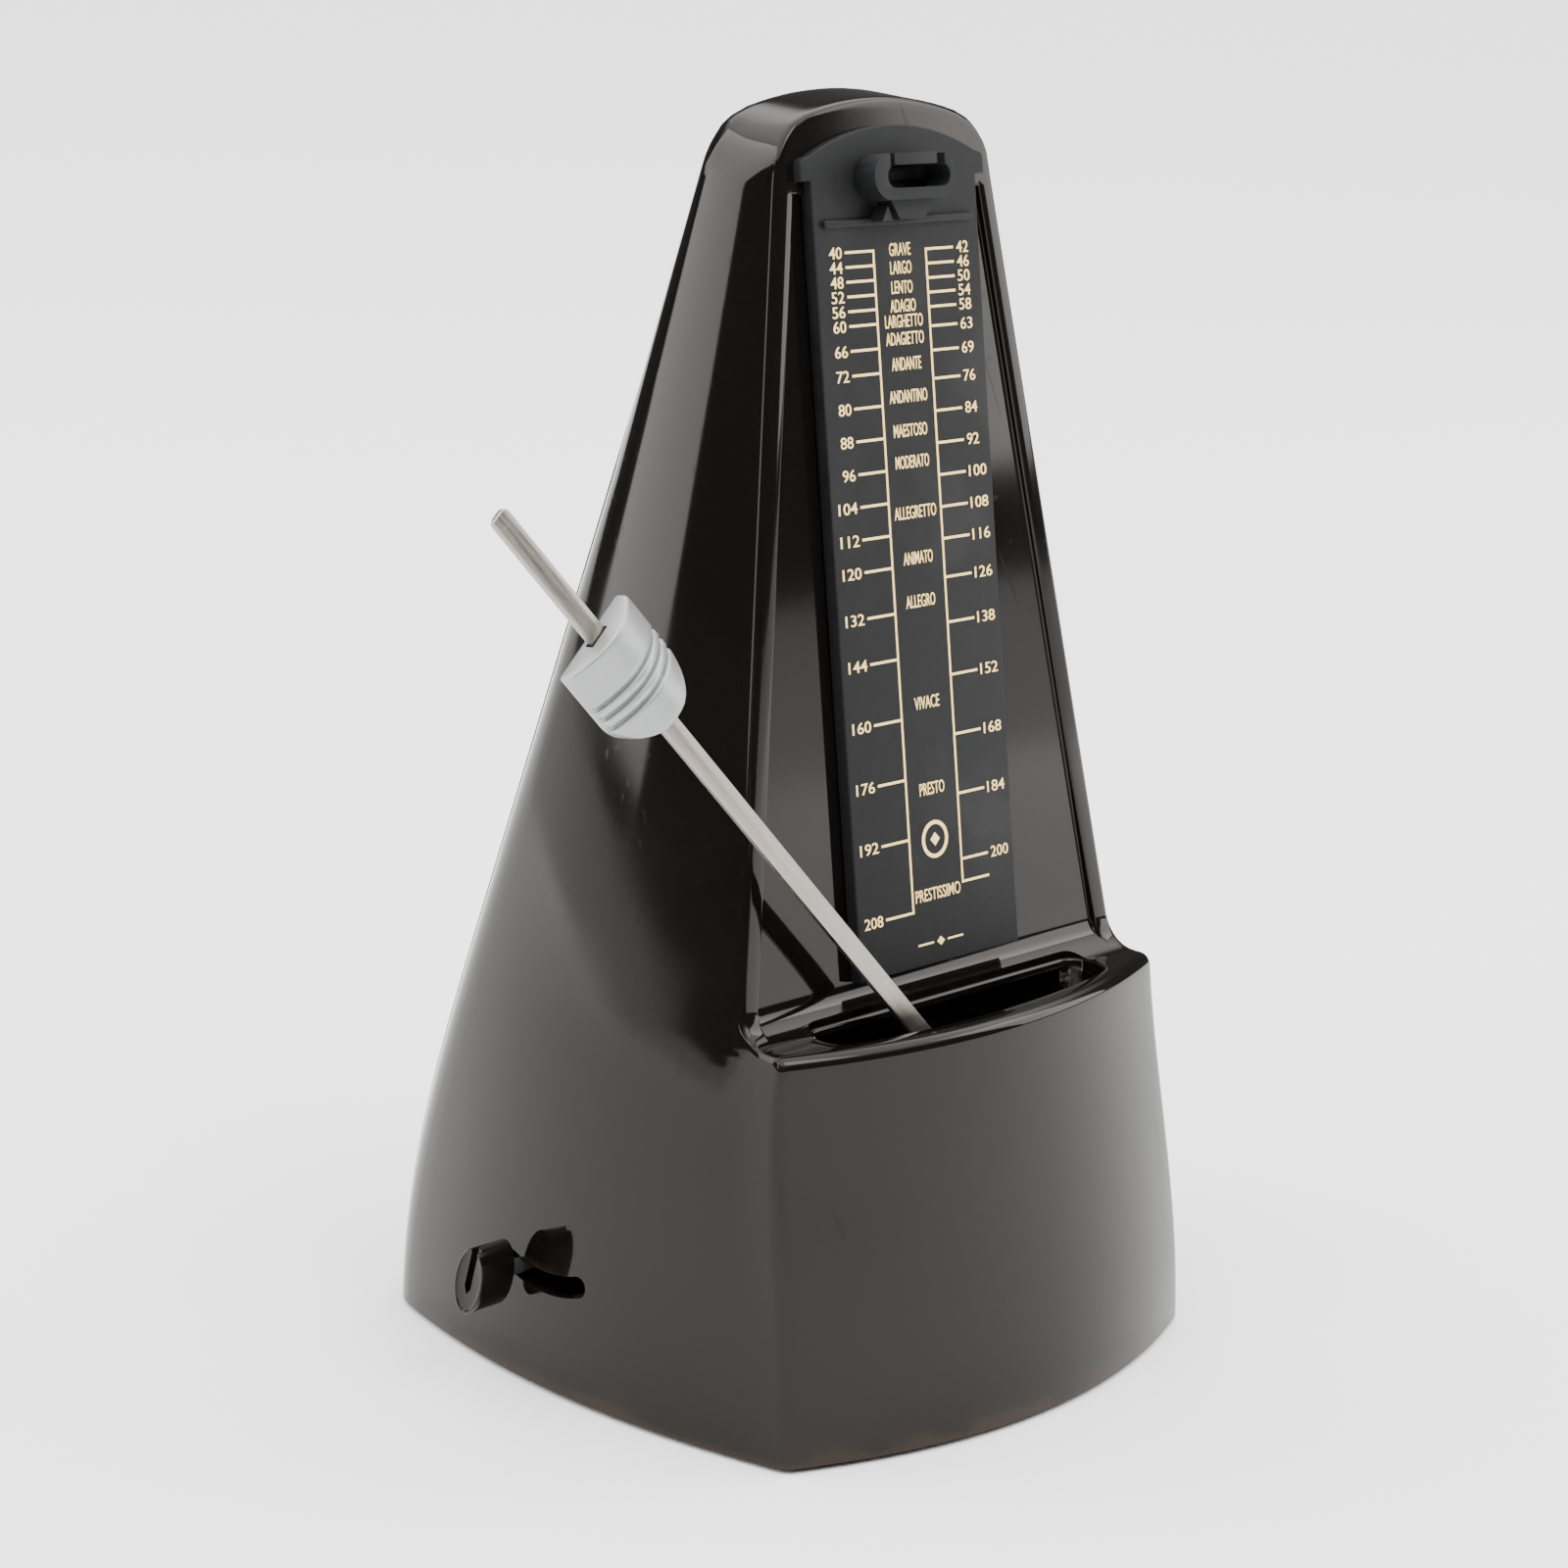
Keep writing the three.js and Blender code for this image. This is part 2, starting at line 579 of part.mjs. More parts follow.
for (const [place, sx, sy] of corners) {
  const stemTop = plateTop + 1.2;
  const pad = BASE_PLATE_LOW - GAP;
  const foot = piece(
    `foot_${place}`,
    turned([[0, 0], [FOOT_RADIUS - 0.5, 0], [FOOT_RADIUS, 0.5], [FOOT_RADIUS, pad], [FOOT_STEM, pad],
      [FOOT_STEM, stemTop], [0, stemTop]]),
    rubber,
  );
  foot.position.set(sx * FOOT_X, sy * FOOT_Y, 0);
  const headTop = BASE_PLATE_LOW + BASE_PLATE_THICK / 2 - GAP;
  const headLow = headTop - 1;
  const screw = piece(
    `base_screw_${place}`,
    turned([[0, headLow], [SCREW_HEAD, headLow], [SCREW_HEAD, headTop], [SCREW_RADIUS, headTop],
      [SCREW_RADIUS, SCREW_LONG], [0, SCREW_LONG + 1]], 16),
    steel,
  );
  screw.position.set(sx * SCREW_X, sy * SCREW_Y, 0);
}

// ---------------------------------------------------------------- movement frame
const thirdAt = BARREL_AT.clone().add(
  new THREE.Vector2(Math.cos(THIRD_BEARING), Math.sin(THIRD_BEARING)).multiplyScalar(
    ((GREAT_TEETH + PINION_TEETH) * GREAT_MODULE) / 2 + MESH_CLEARANCE,
  ),
);
const escapeAt = thirdAt.clone().add(
  new THREE.Vector2(Math.cos(ESCAPE_BEARING), Math.sin(ESCAPE_BEARING)).multiplyScalar(
    ((THIRD_TEETH + PINION_TEETH) * THIRD_MODULE) / 2 + MESH_CLEARANCE,
  ),
);
const THIRD_ARBOR = 1.2;
const ESCAPE_ARBOR = 1.1;
const FRAME_LOW = plateTop + GAP;
const pillarPlaces = [
  ["lower_front", FRAME_FRONT + 4, FRAME_LOW + 4],
  ["lower_rear", FRAME_REAR - 4, FRAME_LOW + 4],
  ["upper_rear", FRAME_REAR - 3.5, FRAME_TOP - 4],
  ["upper_front", FRAME_FRONT + 10, FRAME_TOP - 3],
];

function framePlate(low) {
  const chamfer = 5;
  const shape = outline([
    [FRAME_FRONT, FRAME_LOW],
    [FRAME_REAR, FRAME_LOW],
    [FRAME_REAR, FRAME_TOP - chamfer],
    [FRAME_REAR - chamfer, FRAME_TOP],
    [FRAME_FRONT + chamfer, FRAME_TOP],
    [FRAME_FRONT, FRAME_TOP - chamfer],
  ]);
  const bearings = [
    [BARREL_ARBOR, BARREL_AT], [THIRD_ARBOR, thirdAt], [ESCAPE_ARBOR, escapeAt],
  ].map(([radius, at]) => rod(radius + RUNNING, low - 1, low + FRAME_THICK + 1, at));
  return cut(prismX(shape, low, low + FRAME_THICK), ...bearings);
}

piece("movement_plate_left", framePlate(LEFT_PLATE), brass);
piece("movement_plate_right", framePlate(RIGHT_PLATE), brass);

const frameInside = LEFT_PLATE + FRAME_THICK + GAP;
for (const [place, y, z] of pillarPlaces) {
  const at = new THREE.Vector2(y, z);
  piece(`pillar_${place}`, rod(PILLAR_RADIUS, frameInside, RIGHT_PLATE - GAP, at, 12), brass);
}

// Where the pendulum arbor's centre line is at depth y.
const arborZ = (y) => PIVOT_Z - (y - PIVOT_Y) * Math.tan(TILT);

// A bar across the movement that carries one end of the pendulum arbor.
function arborBridge(x0, x1, rear) {
  const front = rear - FRAME_THICK;
  const middle = arborZ(rear);
  const bar = box(x0, x1, front, rear, middle - 3, middle + 3);
  const bearing = prismY(disc(ARBOR_RADIUS + RUNNING), -ROD_WIDTH, ARBOR_REAR + ROD_WIDTH);
  return cut(bar, onIncline(bearing));
}

const frontBridgeRear = FRAME_FRONT - GAP;
piece("front_bridge", arborBridge(LEFT_PLATE, RIGHT_PLATE + FRAME_THICK, frontBridgeRear), brass);
piece("rear_bridge", arborBridge(frameInside, RIGHT_PLATE - GAP, -15), brass);

// ---------------------------------------------------------------- train
// A gear about the X axis with a tooth at the given bearing.
function gear(teeth, module, bore, low, high, bearing) {
  const pitch = (teeth * module) / 2;
  const root = pitch - 1.25 * module;
  const tip = pitch + 0.85 * module;
  const step = (2 * Math.PI) / teeth;
  const points = [];
  for (let i = 0; i < teeth; i++) {
    const middle = bearing + i * step;
    for (const [share, radius] of [[-0.29, root], [-0.11, tip], [0.11, tip], [0.29, root]]) {
      const angle = middle + share * step;
      points.push([radius * Math.cos(angle), radius * Math.sin(angle)]);
    }
  }
  return cut(prismX(outline(points), low, high), rod(bore, low - 1, high + 1, new THREE.Vector2(0, 0), 20));
}

// A wheel with slanted pointed teeth, for the ratchet and the escape wheel.
function slantedWheel(teeth, radius, depth, bore, low, high) {
  const points = [];
  const step = (2 * Math.PI) / teeth;
  for (let i = 0; i < teeth; i++) {
    const angle = i * step;
    points.push([radius * Math.cos(angle), radius * Math.sin(angle)]);
    const foot = angle + 0.12 * step;
    points.push([(radius - depth) * Math.cos(foot), (radius - depth) * Math.sin(foot)]);
  }
  return cut(prismX(outline(points), low, high), rod(bore, low - 1, high + 1, new THREE.Vector2(0, 0), 20));
}

function stand(mesh, at) {
  mesh.position.set(0, at.x, at.y);
  return mesh;
}

const origin = new THREE.Vector2(0, 0);
const greatWheelX = 3;
const drumX = greatWheelX + FRAME_THICK + GAP;
const drumEnd = RIGHT_PLATE - 1.2;
const drumLid = drumEnd - 1;

stand(
  piece(
    "great_wheel",
    gear(GREAT_TEETH, GREAT_MODULE, BARREL_ARBOR + RUNNING, greatWheelX, drumX - GAP, THIRD_BEARING),
    brass,
  ),
  BARREL_AT,
);

function springBarrel() {
  const drum = rod(BARREL_RADIUS, drumX, drumLid - GAP, origin, 32);
  const hollow = rod(BARREL_RADIUS - BARREL_WALL, drumX + 1, drumLid + 1, origin, 32);
  return cut(drum, hollow, rod(BARREL_ARBOR + RUNNING, drumX - 1, drumLid, origin));
}

function barrelLid() {
  const lid = rod(BARREL_RADIUS, drumLid, drumEnd, origin, 32);
  return cut(lid, rod(BARREL_ARBOR + RUNNING, drumLid - 1, drumEnd + 1, origin));
}

// The wound strip inside the barrel, from just outside the arbor to just inside the drum.
function mainspring() {
  const inner = BARREL_ARBOR + 2 * GAP;
  const outer = BARREL_RADIUS - BARREL_WALL - 2 * GAP - SPRING_STRIP;
  const steps = SPRING_TURNS * 20;
  const edge = (extra) =>
    Array.from({ length: steps + 1 }, (_, i) => {
      const angle = (i / 20) * 2 * Math.PI;
      const radius = lerp(inner, outer, i / steps) + extra;
      return [radius * Math.cos(angle), radius * Math.sin(angle)];
    });
  return prismX(outline([...edge(SPRING_STRIP), ...edge(0).reverse()]), drumX + 1 + GAP, drumLid - 2 * GAP);
}

stand(piece("spring_barrel", springBarrel(), brass), BARREL_AT);
stand(piece("barrel_lid", barrelLid(), brass), BARREL_AT);
stand(piece("mainspring", mainspring(), springSteel), BARREL_AT);

const ratchetX = RIGHT_PLATE + FRAME_THICK + 2 * GAP;
const ratchetEnd = ratchetX + FRAME_THICK;
const keyShaftEnd = KEY_START + 6;
stand(
  piece(
    "barrel_arbor",
    join(
      rod(BARREL_ARBOR, LEFT_PLATE - 1, ratchetEnd + GAP, origin),
      rod(KEY_SHAFT, ratchetEnd, keyShaftEnd, origin),
    ),
    steel,
  ),
  BARREL_AT,
);
stand(
  piece(
    "ratchet_wheel",
    slantedWheel(RATCHET_TEETH, RATCHET_RADIUS, 1.2, BARREL_ARBOR + GAP, ratchetX, ratchetEnd),
    steel,
  ),
  BARREL_AT,
);

// The click lies above the ratchet wheel, on a stud of the right frame plate.
const clickAt = new THREE.Vector2(BARREL_AT.x + 10.5, BARREL_AT.y + 8.5);
const STUD_RADIUS = 1.4;
const clickEye = STUD_RADIUS + RUNNING + 1.4;

function click() {
  const tipY = BARREL_AT.x - clickAt.x;
  const tipZ = BARREL_AT.y - clickAt.y + RATCHET_RADIUS + 2 * GAP - clickEye;
  const arm = outline([
    [clickEye * 0.9, -clickEye * 0.3],
    [clickEye * 0.3, clickEye * 0.9],
    [tipY + 1, clickEye * 0.4 + 0.6],
    [tipY - 1, tipZ + 2.6],
    [tipY + 1, tipZ + 3.1],
    [-clickEye, -clickEye * 0.6],
  ]);
  const eye = rod(clickEye, ratchetX, ratchetEnd, origin, 16);
  return cut(join(prismX(arm, ratchetX, ratchetEnd), eye), rod(STUD_RADIUS + RUNNING, 0, BASE_HALF, origin));
}

stand(piece("click", click(), steel), clickAt);
stand(
  piece(
    "click_screw",
    join(
      rod(STUD_RADIUS, RIGHT_PLATE + FRAME_THICK + GAP, ratchetEnd + GAP, origin),
      rod(clickEye, ratchetEnd + GAP, ratchetEnd + GAP + 1, origin),
    ),
    steel,
  ),
  clickAt,
);
piece(
  "click_spring",
  prismX(
    outline([
      [clickAt.x + 6, clickAt.y + 6.5], [clickAt.x + 5.4, clickAt.y + 7.1],
      [BARREL_AT.x + 2, clickAt.y + 3.2], [BARREL_AT.x + 2, clickAt.y + 2.6],
    ]),
    ratchetX,
    ratchetEnd,
  ),
  springSteel,
);

const thirdWheelX = -6.6;
const arborLeft = LEFT_PLATE - 7.5;
const arborRight = RIGHT_PLATE + FRAME_THICK;
stand(piece("third_arbor", rod(THIRD_ARBOR, arborLeft, arborRight, origin, 12), steel), thirdAt);
stand(
  piece(
    "third_pinion",
    gear(
      PINION_TEETH, GREAT_MODULE, THIRD_ARBOR + GAP, greatWheelX - 1, drumX + 0.7,
      THIRD_BEARING + Math.PI + Math.PI / PINION_TEETH,
    ),
    steel,
  ),
  thirdAt,
);
stand(
  piece(
    "third_wheel",
    gear(THIRD_TEETH, THIRD_MODULE, THIRD_ARBOR + GAP, thirdWheelX, thirdWheelX + 1.2, ESCAPE_BEARING),
    brass,
  ),
  thirdAt,
);

// Six rounded lobes that lift the bell hammer.
function beatCam() {
  const lobes = 6;
  const points = Array.from({ length: 48 }, (_, i) => {
    const angle = (i / 48) * 2 * Math.PI;
    const radius = 6 + 0.9 * Math.cos(lobes * angle);
    return [radius * Math.cos(angle), radius * Math.sin(angle)];
  });
  const low = arborLeft + 1;
  return cut(prismX(outline(points), low, low + 3), rod(THIRD_ARBOR + GAP, low - 1, low + 4, origin, 12));
}

stand(piece("beat_cam", beatCam(), brass), thirdAt);

stand(
  piece("escape_arbor", rod(ESCAPE_ARBOR, LEFT_PLATE, arborRight, origin, 12), steel),
  escapeAt,
);
stand(
  piece(
    "escape_pinion",
    gear(
      PINION_TEETH, THIRD_MODULE, ESCAPE_ARBOR + 0.2, thirdWheelX - 1, thirdWheelX + 2.4,
      ESCAPE_BEARING + Math.PI + Math.PI / PINION_TEETH,
    ),
    steel,
  ),
  escapeAt,
);
const escapeWheel = slantedWheel(ESCAPE_TEETH, ESCAPE_RADIUS, 2.2, ESCAPE_ARBOR + GAP, -0.7, 0.7);
stand(piece("escape_wheel", escapeWheel, brass), escapeAt);

// ---------------------------------------------------------------- winding key
function windingKey() {
  const shank = rod(KEY_SHAFT + 1.8, KEY_START, KEY_START + 9, origin, 20);
  const wing = new THREE.Shape();
  const start = KEY_START + 7;
  wing.moveTo(-3.4, start);
  wing.bezierCurveTo(-5, start + 4, -KEY_WING_HALF, start - 1, -KEY_WING_HALF, start + 7);
  wing.bezierCurveTo(-KEY_WING_HALF, start + 15, -3, start + 14, 0, start + 11.5);
  wing.bezierCurveTo(3, start + 14, KEY_WING_HALF, start + 15, KEY_WING_HALF, start + 7);
  wing.bezierCurveTo(KEY_WING_HALF, start - 1, 5, start + 4, 3.4, start);
  const toWing = new THREE.Matrix4().set(0, 1, 0, 0, 0, 0, 1, 0, 1, 0, 0, 0, 0, 0, 0, 1);
  const blade = prism(wing, -KEY_THICK / 2, KEY_THICK / 2, toWing);
  return cut(join(shank, blade), rod(KEY_SHAFT + GAP, KEY_START - 1, keyShaftEnd + GAP, origin));
}

stand(piece("winding_key", windingKey(), nickel), BARREL_AT);

// ---------------------------------------------------------------- pendulum, drawn upright in its own plane
function pendulumRod() {
  const half = ROD_WIDTH / 2;
  const shape = new THREE.Shape();
  shape.moveTo(-half, -ROD_TAIL);
  shape.lineTo(half, -ROD_TAIL);
  shape.lineTo(half, ROD_TIP - 1.2);
  shape.quadraticCurveTo(half - 0.2, ROD_TIP - 0.2, half - 1, ROD_TIP);
  shape.lineTo(-half + 1, ROD_TIP);
  shape.quadraticCurveTo(-half + 0.2, ROD_TIP - 0.2, -half, ROD_TIP - 1.2);
  const blade = prismY(shape, -ROD_THICK / 2, ROD_THICK / 2);
  const hub = prismY(disc(ARBOR_RADIUS + GAP + 1.5), -1.6, 1.6);
  return cut(join(blade, hub), prismY(disc(ARBOR_RADIUS + GAP), -2, 2));
}

// A round bob with a slot for the rod's tail.
function lowerBob() {
  const body = prismY(disc(BOB_RADIUS, 0, BOB_UP), -BOB_THICK / 2, BOB_THICK / 2);
  const play = ROD_WIDTH / 2 + GAP;
  const slot = box(-play, play, -ROD_THICK / 2 - GAP, ROD_THICK / 2 + GAP, -ROD_TAIL - GAP, 0);
  return cut(body, slot);
}

function palletArbor() {
  return prismY(disc(ARBOR_RADIUS), -2.4, ARBOR_REAR);
}

// A collar with two small pallets over the escape wheel.
function pallets() {
  const middle = (escapeAt.x - PIVOT_Y) / Math.cos(TILT);
  const long = 5;
  const collar = prismY(disc(ARBOR_RADIUS + GAP + 0.8), middle - long, middle + long);
  const arm = (side, y) => box(Math.min(side, side * 5), Math.max(side, side * 5), y, y + 1.4, -0.7, 0.7);
  const body = join(collar, arm(-1, middle - long), arm(1, middle + long - 1.4));
  return cut(body, prismY(disc(ARBOR_RADIUS + GAP), middle - long - 1, middle + long + 1));
}

// Thick in the middle and thin at its sides, flat on top, round below, with three grooves in front.
function slidingWeight() {
  const low = WEIGHT_UP;
  const high = WEIGHT_UP + WEIGHT_LONG;
  const face = new THREE.Shape();
  face.moveTo(-WEIGHT_HALF, high);
  const turn = low + WEIGHT_ROUND;
  const bend = low + WEIGHT_ROUND / 3;
  face.lineTo(-WEIGHT_HALF, turn);
  face.bezierCurveTo(-WEIGHT_HALF, bend, -WEIGHT_HALF / 2, low, 0, low);
  face.bezierCurveTo(WEIGHT_HALF / 2, low, WEIGHT_HALF, bend, WEIGHT_HALF, turn);
  face.lineTo(WEIGHT_HALF, high);
  const plan = new THREE.Shape();
  plan.moveTo(-WEIGHT_HALF, WEIGHT_BACK);
  plan.lineTo(-WEIGHT_HALF, -WEIGHT_EDGE + WEIGHT_BACK - 1);
  plan.quadraticCurveTo(0, -2 * WEIGHT_FRONT + WEIGHT_EDGE, WEIGHT_HALF, -WEIGHT_EDGE + WEIGHT_BACK - 1);
  plan.lineTo(WEIGHT_HALF, WEIGHT_BACK);
  const body = common(prismY(face, -2 * WEIGHT_FRONT, WEIGHT_BACK), prismZ(plan, low - 1, high));
  const play = ROD_WIDTH / 2 + ROD_PLAY;
  const depth = ROD_THICK / 2 + ROD_PLAY;
  const slot = box(-play, play, -depth, depth, low - 1, high + 1);
  const middle = (WEIGHT_BACK - 1) / 2 - WEIGHT_FRONT; // depth of the curved front's foremost line
  const grooves = [0, 1, 2].map((i) => {
    const end = high - GROOVE_DOWN - i * GROOVE_STEP;
    const floor = middle + GROOVE_DEEP;
    return box(-WEIGHT_HALF, WEIGHT_HALF, -2 * WEIGHT_FRONT, floor, end - GROOVE_WIDE, end);
  });
  return cut(body, slot, ...grooves);
}

piece("pendulum_rod", pendulumRod(), steel, pendulum);
piece("lower_bob", lowerBob(), brass, pendulum);
piece("pallet_arbor", palletArbor(), steel, pendulum);
piece("pallets", pallets(), steel, pendulum);
piece("sliding_weight", slidingWeight(), zinc, pendulum);

// ---------------------------------------------------------------- beat selector
const selectorAt = new THREE.Vector2(SELECTOR_Y, SELECTOR_Z);
const selector = new THREE.Group();
selector.position.set(0, SELECTOR_Y, SELECTOR_Z);
selector.rotation.x = SELECTOR_REST;
metronome.add(selector);
const knobAt = new THREE.Vector2(0, -SELECTOR_REACH);

// The arm, with its eye on the stud and the neck that reaches out through the wall's slot.
function selectorLever() {
  const eye = STUD_RADIUS + RUNNING + 1.6;
  const arm = outline([[-eye, 0], [-2, -SELECTOR_REACH - 2], [2, -SELECTOR_REACH - 2], [eye, 0]]);
  const low = LEVER_X;
  const high = LEVER_X + LEVER_THICK;
  const neck = rod(SELECTOR_NECK, KNOB_START - 4, low + 0.5, knobAt, 16);
  const body = join(prismX(arm, low, high), rod(eye, low, high, origin), neck);
  return cut(body, rod(STUD_RADIUS + RUNNING, low - 1, high + 1, origin));
}

// An upright oval button with a grooved pointer in its face.
function selectorKnob() {
  const shape = new THREE.Shape().absellipse(knobAt.x, knobAt.y, KNOB_WIDE, KNOB_TALL, 0, 2 * Math.PI);
  const end = KNOB_START - KNOB_LONG;
  const body = prismX(shape, end, KNOB_START);
  const high = KNOB_TALL - SELECTOR_REACH + 1;
  const low = -SELECTOR_REACH - 1.2;
  const half = POINTER_HALF;
  const pointer = outline([[-half, high], [-half, low], [0, low - half], [half, low], [half, high]]);
  const bore = rod(SELECTOR_NECK + GAP, KNOB_START - 4 - GAP, 0, knobAt);
  return cut(body, prismX(pointer, end - 1, end + 1.2), bore);
}

piece("selector_lever", selectorLever(), mattePlastic, selector);
piece("selector_knob", selectorKnob(), smokyPlastic, selector);
stand(
  piece("selector_stud", rod(STUD_RADIUS, LEVER_X - 1, LEFT_PLATE - GAP, origin, 12), steel),
  selectorAt,
);

// ---------------------------------------------------------------- bell and hammer
function bell() {
  const steps = 8;
  const dome = (radius) =>
    Array.from({ length: steps + 1 }, (_, i) => {
      const angle = (i / steps) * (Math.PI / 2);
      return [i === steps ? 0 : radius * Math.cos(angle), radius * Math.sin(angle)];
    });
  const cup = turned([...dome(BELL_RADIUS - BELL_WALL).reverse(), ...dome(BELL_RADIUS)]);
  return cut(cup, prismZ(disc(STUD_RADIUS + RUNNING), 0, 2 * BELL_RADIUS));
}

const bellMesh = piece("bell", bell(), nickel);
bellMesh.position.set(BELL_X, BELL_Y, BELL_Z);
const postMesh = piece(
  "bell_post",
  join(
    prismZ(disc(STUD_RADIUS + 1), plateTop + GAP, BELL_Z + BELL_RADIUS - BELL_WALL - GAP),
    prismZ(disc(STUD_RADIUS), plateTop + 1, BELL_Z + BELL_RADIUS + 1.5),
  ),
  steel,
);
postMesh.position.set(BELL_X, BELL_Y, 0);

const hammerAt = new THREE.Vector2(HAMMER_Y, HAMMER_Z);

// A pivoted arm whose round head rests just off the bell's rim.
function hammer() {
  const low = BELL_X - 1;
  const high = BELL_X + 1;
  const eye = STUD_RADIUS + RUNNING + 1.2;
  const headY = BELL_Y - BELL_RADIUS - 1.2 - 3 - HAMMER_Y;
  const headZ = BELL_Z + 1.5 - HAMMER_Z;
  const arm = outline([[-1, -eye + 0.3], [headY - 1, headZ], [headY + 1, headZ], [1.5, -eye + 0.3]]);
  const head = rod(3, BELL_X - 3, BELL_X + 3, new THREE.Vector2(headY, headZ), 16);
  const body = join(prismX(arm, low, high), rod(eye, low, high, origin, 16), head);
  return cut(body, rod(STUD_RADIUS + RUNNING, low - 1, high + 1, origin));
}

stand(piece("bell_hammer", hammer(), steel), hammerAt);
stand(
  piece("hammer_stud", rod(STUD_RADIUS, BELL_X - 2.5, LEFT_PLATE - GAP, origin, 12), steel),
  hammerAt,
);

export default metronome;
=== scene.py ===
"""Looks of a pyramid metronome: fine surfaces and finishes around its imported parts."""

import logging
import math
from collections.abc import Callable, Iterable, Sequence
from dataclasses import dataclass
from enum import Enum

import bmesh
import bpy
from mathutils import Euler, Matrix, Vector


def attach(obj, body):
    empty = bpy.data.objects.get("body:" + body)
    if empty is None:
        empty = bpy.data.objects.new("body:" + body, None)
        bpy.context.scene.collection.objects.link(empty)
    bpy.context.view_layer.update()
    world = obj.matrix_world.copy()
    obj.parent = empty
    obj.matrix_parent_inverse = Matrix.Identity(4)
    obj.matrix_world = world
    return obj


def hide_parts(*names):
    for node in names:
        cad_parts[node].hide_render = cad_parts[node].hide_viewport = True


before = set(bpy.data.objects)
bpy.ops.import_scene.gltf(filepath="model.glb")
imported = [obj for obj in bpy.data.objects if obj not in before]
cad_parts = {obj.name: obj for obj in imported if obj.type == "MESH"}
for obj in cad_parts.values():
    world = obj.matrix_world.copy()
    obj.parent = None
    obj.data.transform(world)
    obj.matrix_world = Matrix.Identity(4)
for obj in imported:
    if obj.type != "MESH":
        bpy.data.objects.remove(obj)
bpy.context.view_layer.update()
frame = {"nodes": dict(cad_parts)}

LOG = logging.getLogger("metronome")
MM = 0.001
TILT = math.radians(8)
LEAN = math.radians(41.4)
PIVOT = Vector((0, -40.7, 50))
PLATE_FACE = 5.0
SELECTOR_PIVOT = (1.8, 42.8)
SELECTOR_REACH = 24.0
SELECTOR_REST = 15.3
SELECTOR_SWING = 30.6
KEY_AXLE = (8.0, 36.0)
Point = tuple[float, float]


def lerp(a: float, b: float, t: float) -> float:
    """A value a share t of the way from a to b."""
    return a + (b - a) * t


def incline_matrix() -> Matrix:
    """From the inclined front's own axes, whose origin is the pendulum's pivot, to the case's."""
    return Matrix.Translation(PIVOT) @ Matrix.Rotation(-TILT, 4, "X")


def pendulum_matrix() -> Matrix:
    """From the pendulum's own axes, with the rod upright, to the case's, with the rod at rest."""
    return incline_matrix() @ Matrix.Rotation(-LEAN, 4, "Y")


# ---------------------------------------------------------------- shader groups
class Socket(Enum):
    """Kinds of group socket."""

    VALUE = "NodeSocketFloat"
    VECTOR = "NodeSocketVector"


class NodeSheet:
    """A node tree with short calls for adding and joining nodes."""

    def __init__(self, tree: bpy.types.NodeTree) -> None:
        """Args:
        tree: the material's or the group's node tree.
        """
        self.tree = tree

    def add(self, kind: str, **settings: object) -> bpy.types.Node:
        """Adds a node.

        Args:
            kind: the node's type name.
            settings: node properties to set.

        Returns:
            The new node.
        """
        node = self.tree.nodes.new(kind)
        for name, value in settings.items():
            setattr(node, name, value)
        return node

    def link(self, out: bpy.types.NodeSocket, into: bpy.types.NodeSocket) -> None:
        """Joins an output to an input."""
        self.tree.links.new(out, into)

    def noise(self, vector: bpy.types.NodeSocket, scale: float, detail: float = 3.0,
              roughness: float = 0.5) -> bpy.types.NodeSocket:
        """Adds a noise texture and returns its value."""
        node = self.add("ShaderNodeTexNoise")
        node.inputs["Scale"].default_value = scale
        node.inputs["Detail"].default_value = detail
        node.inputs["Roughness"].default_value = roughness
        self.link(vector, node.inputs["Vector"])
        return node.outputs["Fac"]

    def stretch(self, vector: bpy.types.NodeSocket, turn: Euler, scale: Vector) -> bpy.types.NodeSocket:
        """Turns a position and then scales it along its axes."""
        turned = self.add("ShaderNodeMapping")
        turned.inputs["Rotation"].default_value = turn
        self.link(vector, turned.inputs["Vector"])
        node = self.add("ShaderNodeMapping")
        node.inputs["Scale"].default_value = scale
        self.link(turned.outputs["Vector"], node.inputs["Vector"])
        return node.outputs["Vector"]

    def remap(self, value: bpy.types.NodeSocket, span: Point, target: Point) -> bpy.types.NodeSocket:
        """Maps one range of values onto another, held at its ends."""
        node = self.add("ShaderNodeMapRange", interpolation_type="SMOOTHSTEP")
        for name, number in zip(("From Min", "From Max", "To Min", "To Max"), (*span, *target)):
            node.inputs[name].default_value = number
        self.link(value, node.inputs["Value"])
        return node.outputs["Result"]

    def math(self, kind: str, a: bpy.types.NodeSocket, b: bpy.types.NodeSocket | float) -> bpy.types.NodeSocket:
        """Adds a math node on two values."""
        node = self.add("ShaderNodeMath", operation=kind)
        self.link(a, node.inputs[0])
        if isinstance(b, (int, float)):
            node.inputs[1].default_value = b
        else:
            self.link(b, node.inputs[1])
        return node.outputs[0]

    def mix(self, mask: bpy.types.NodeSocket, a: object, b: object) -> bpy.types.NodeSocket:
        """Mixes two colours by a mask."""
        node = self.add("ShaderNodeMix", data_type="RGBA")
        self.link(mask, node.inputs["Factor"])
        for colour, place in ((a, 6), (b, 7)):
            if isinstance(colour, bpy.types.NodeSocket):
                self.link(colour, node.inputs[place])
            else:
                node.inputs[place].default_value = colour
        return node.outputs[2]


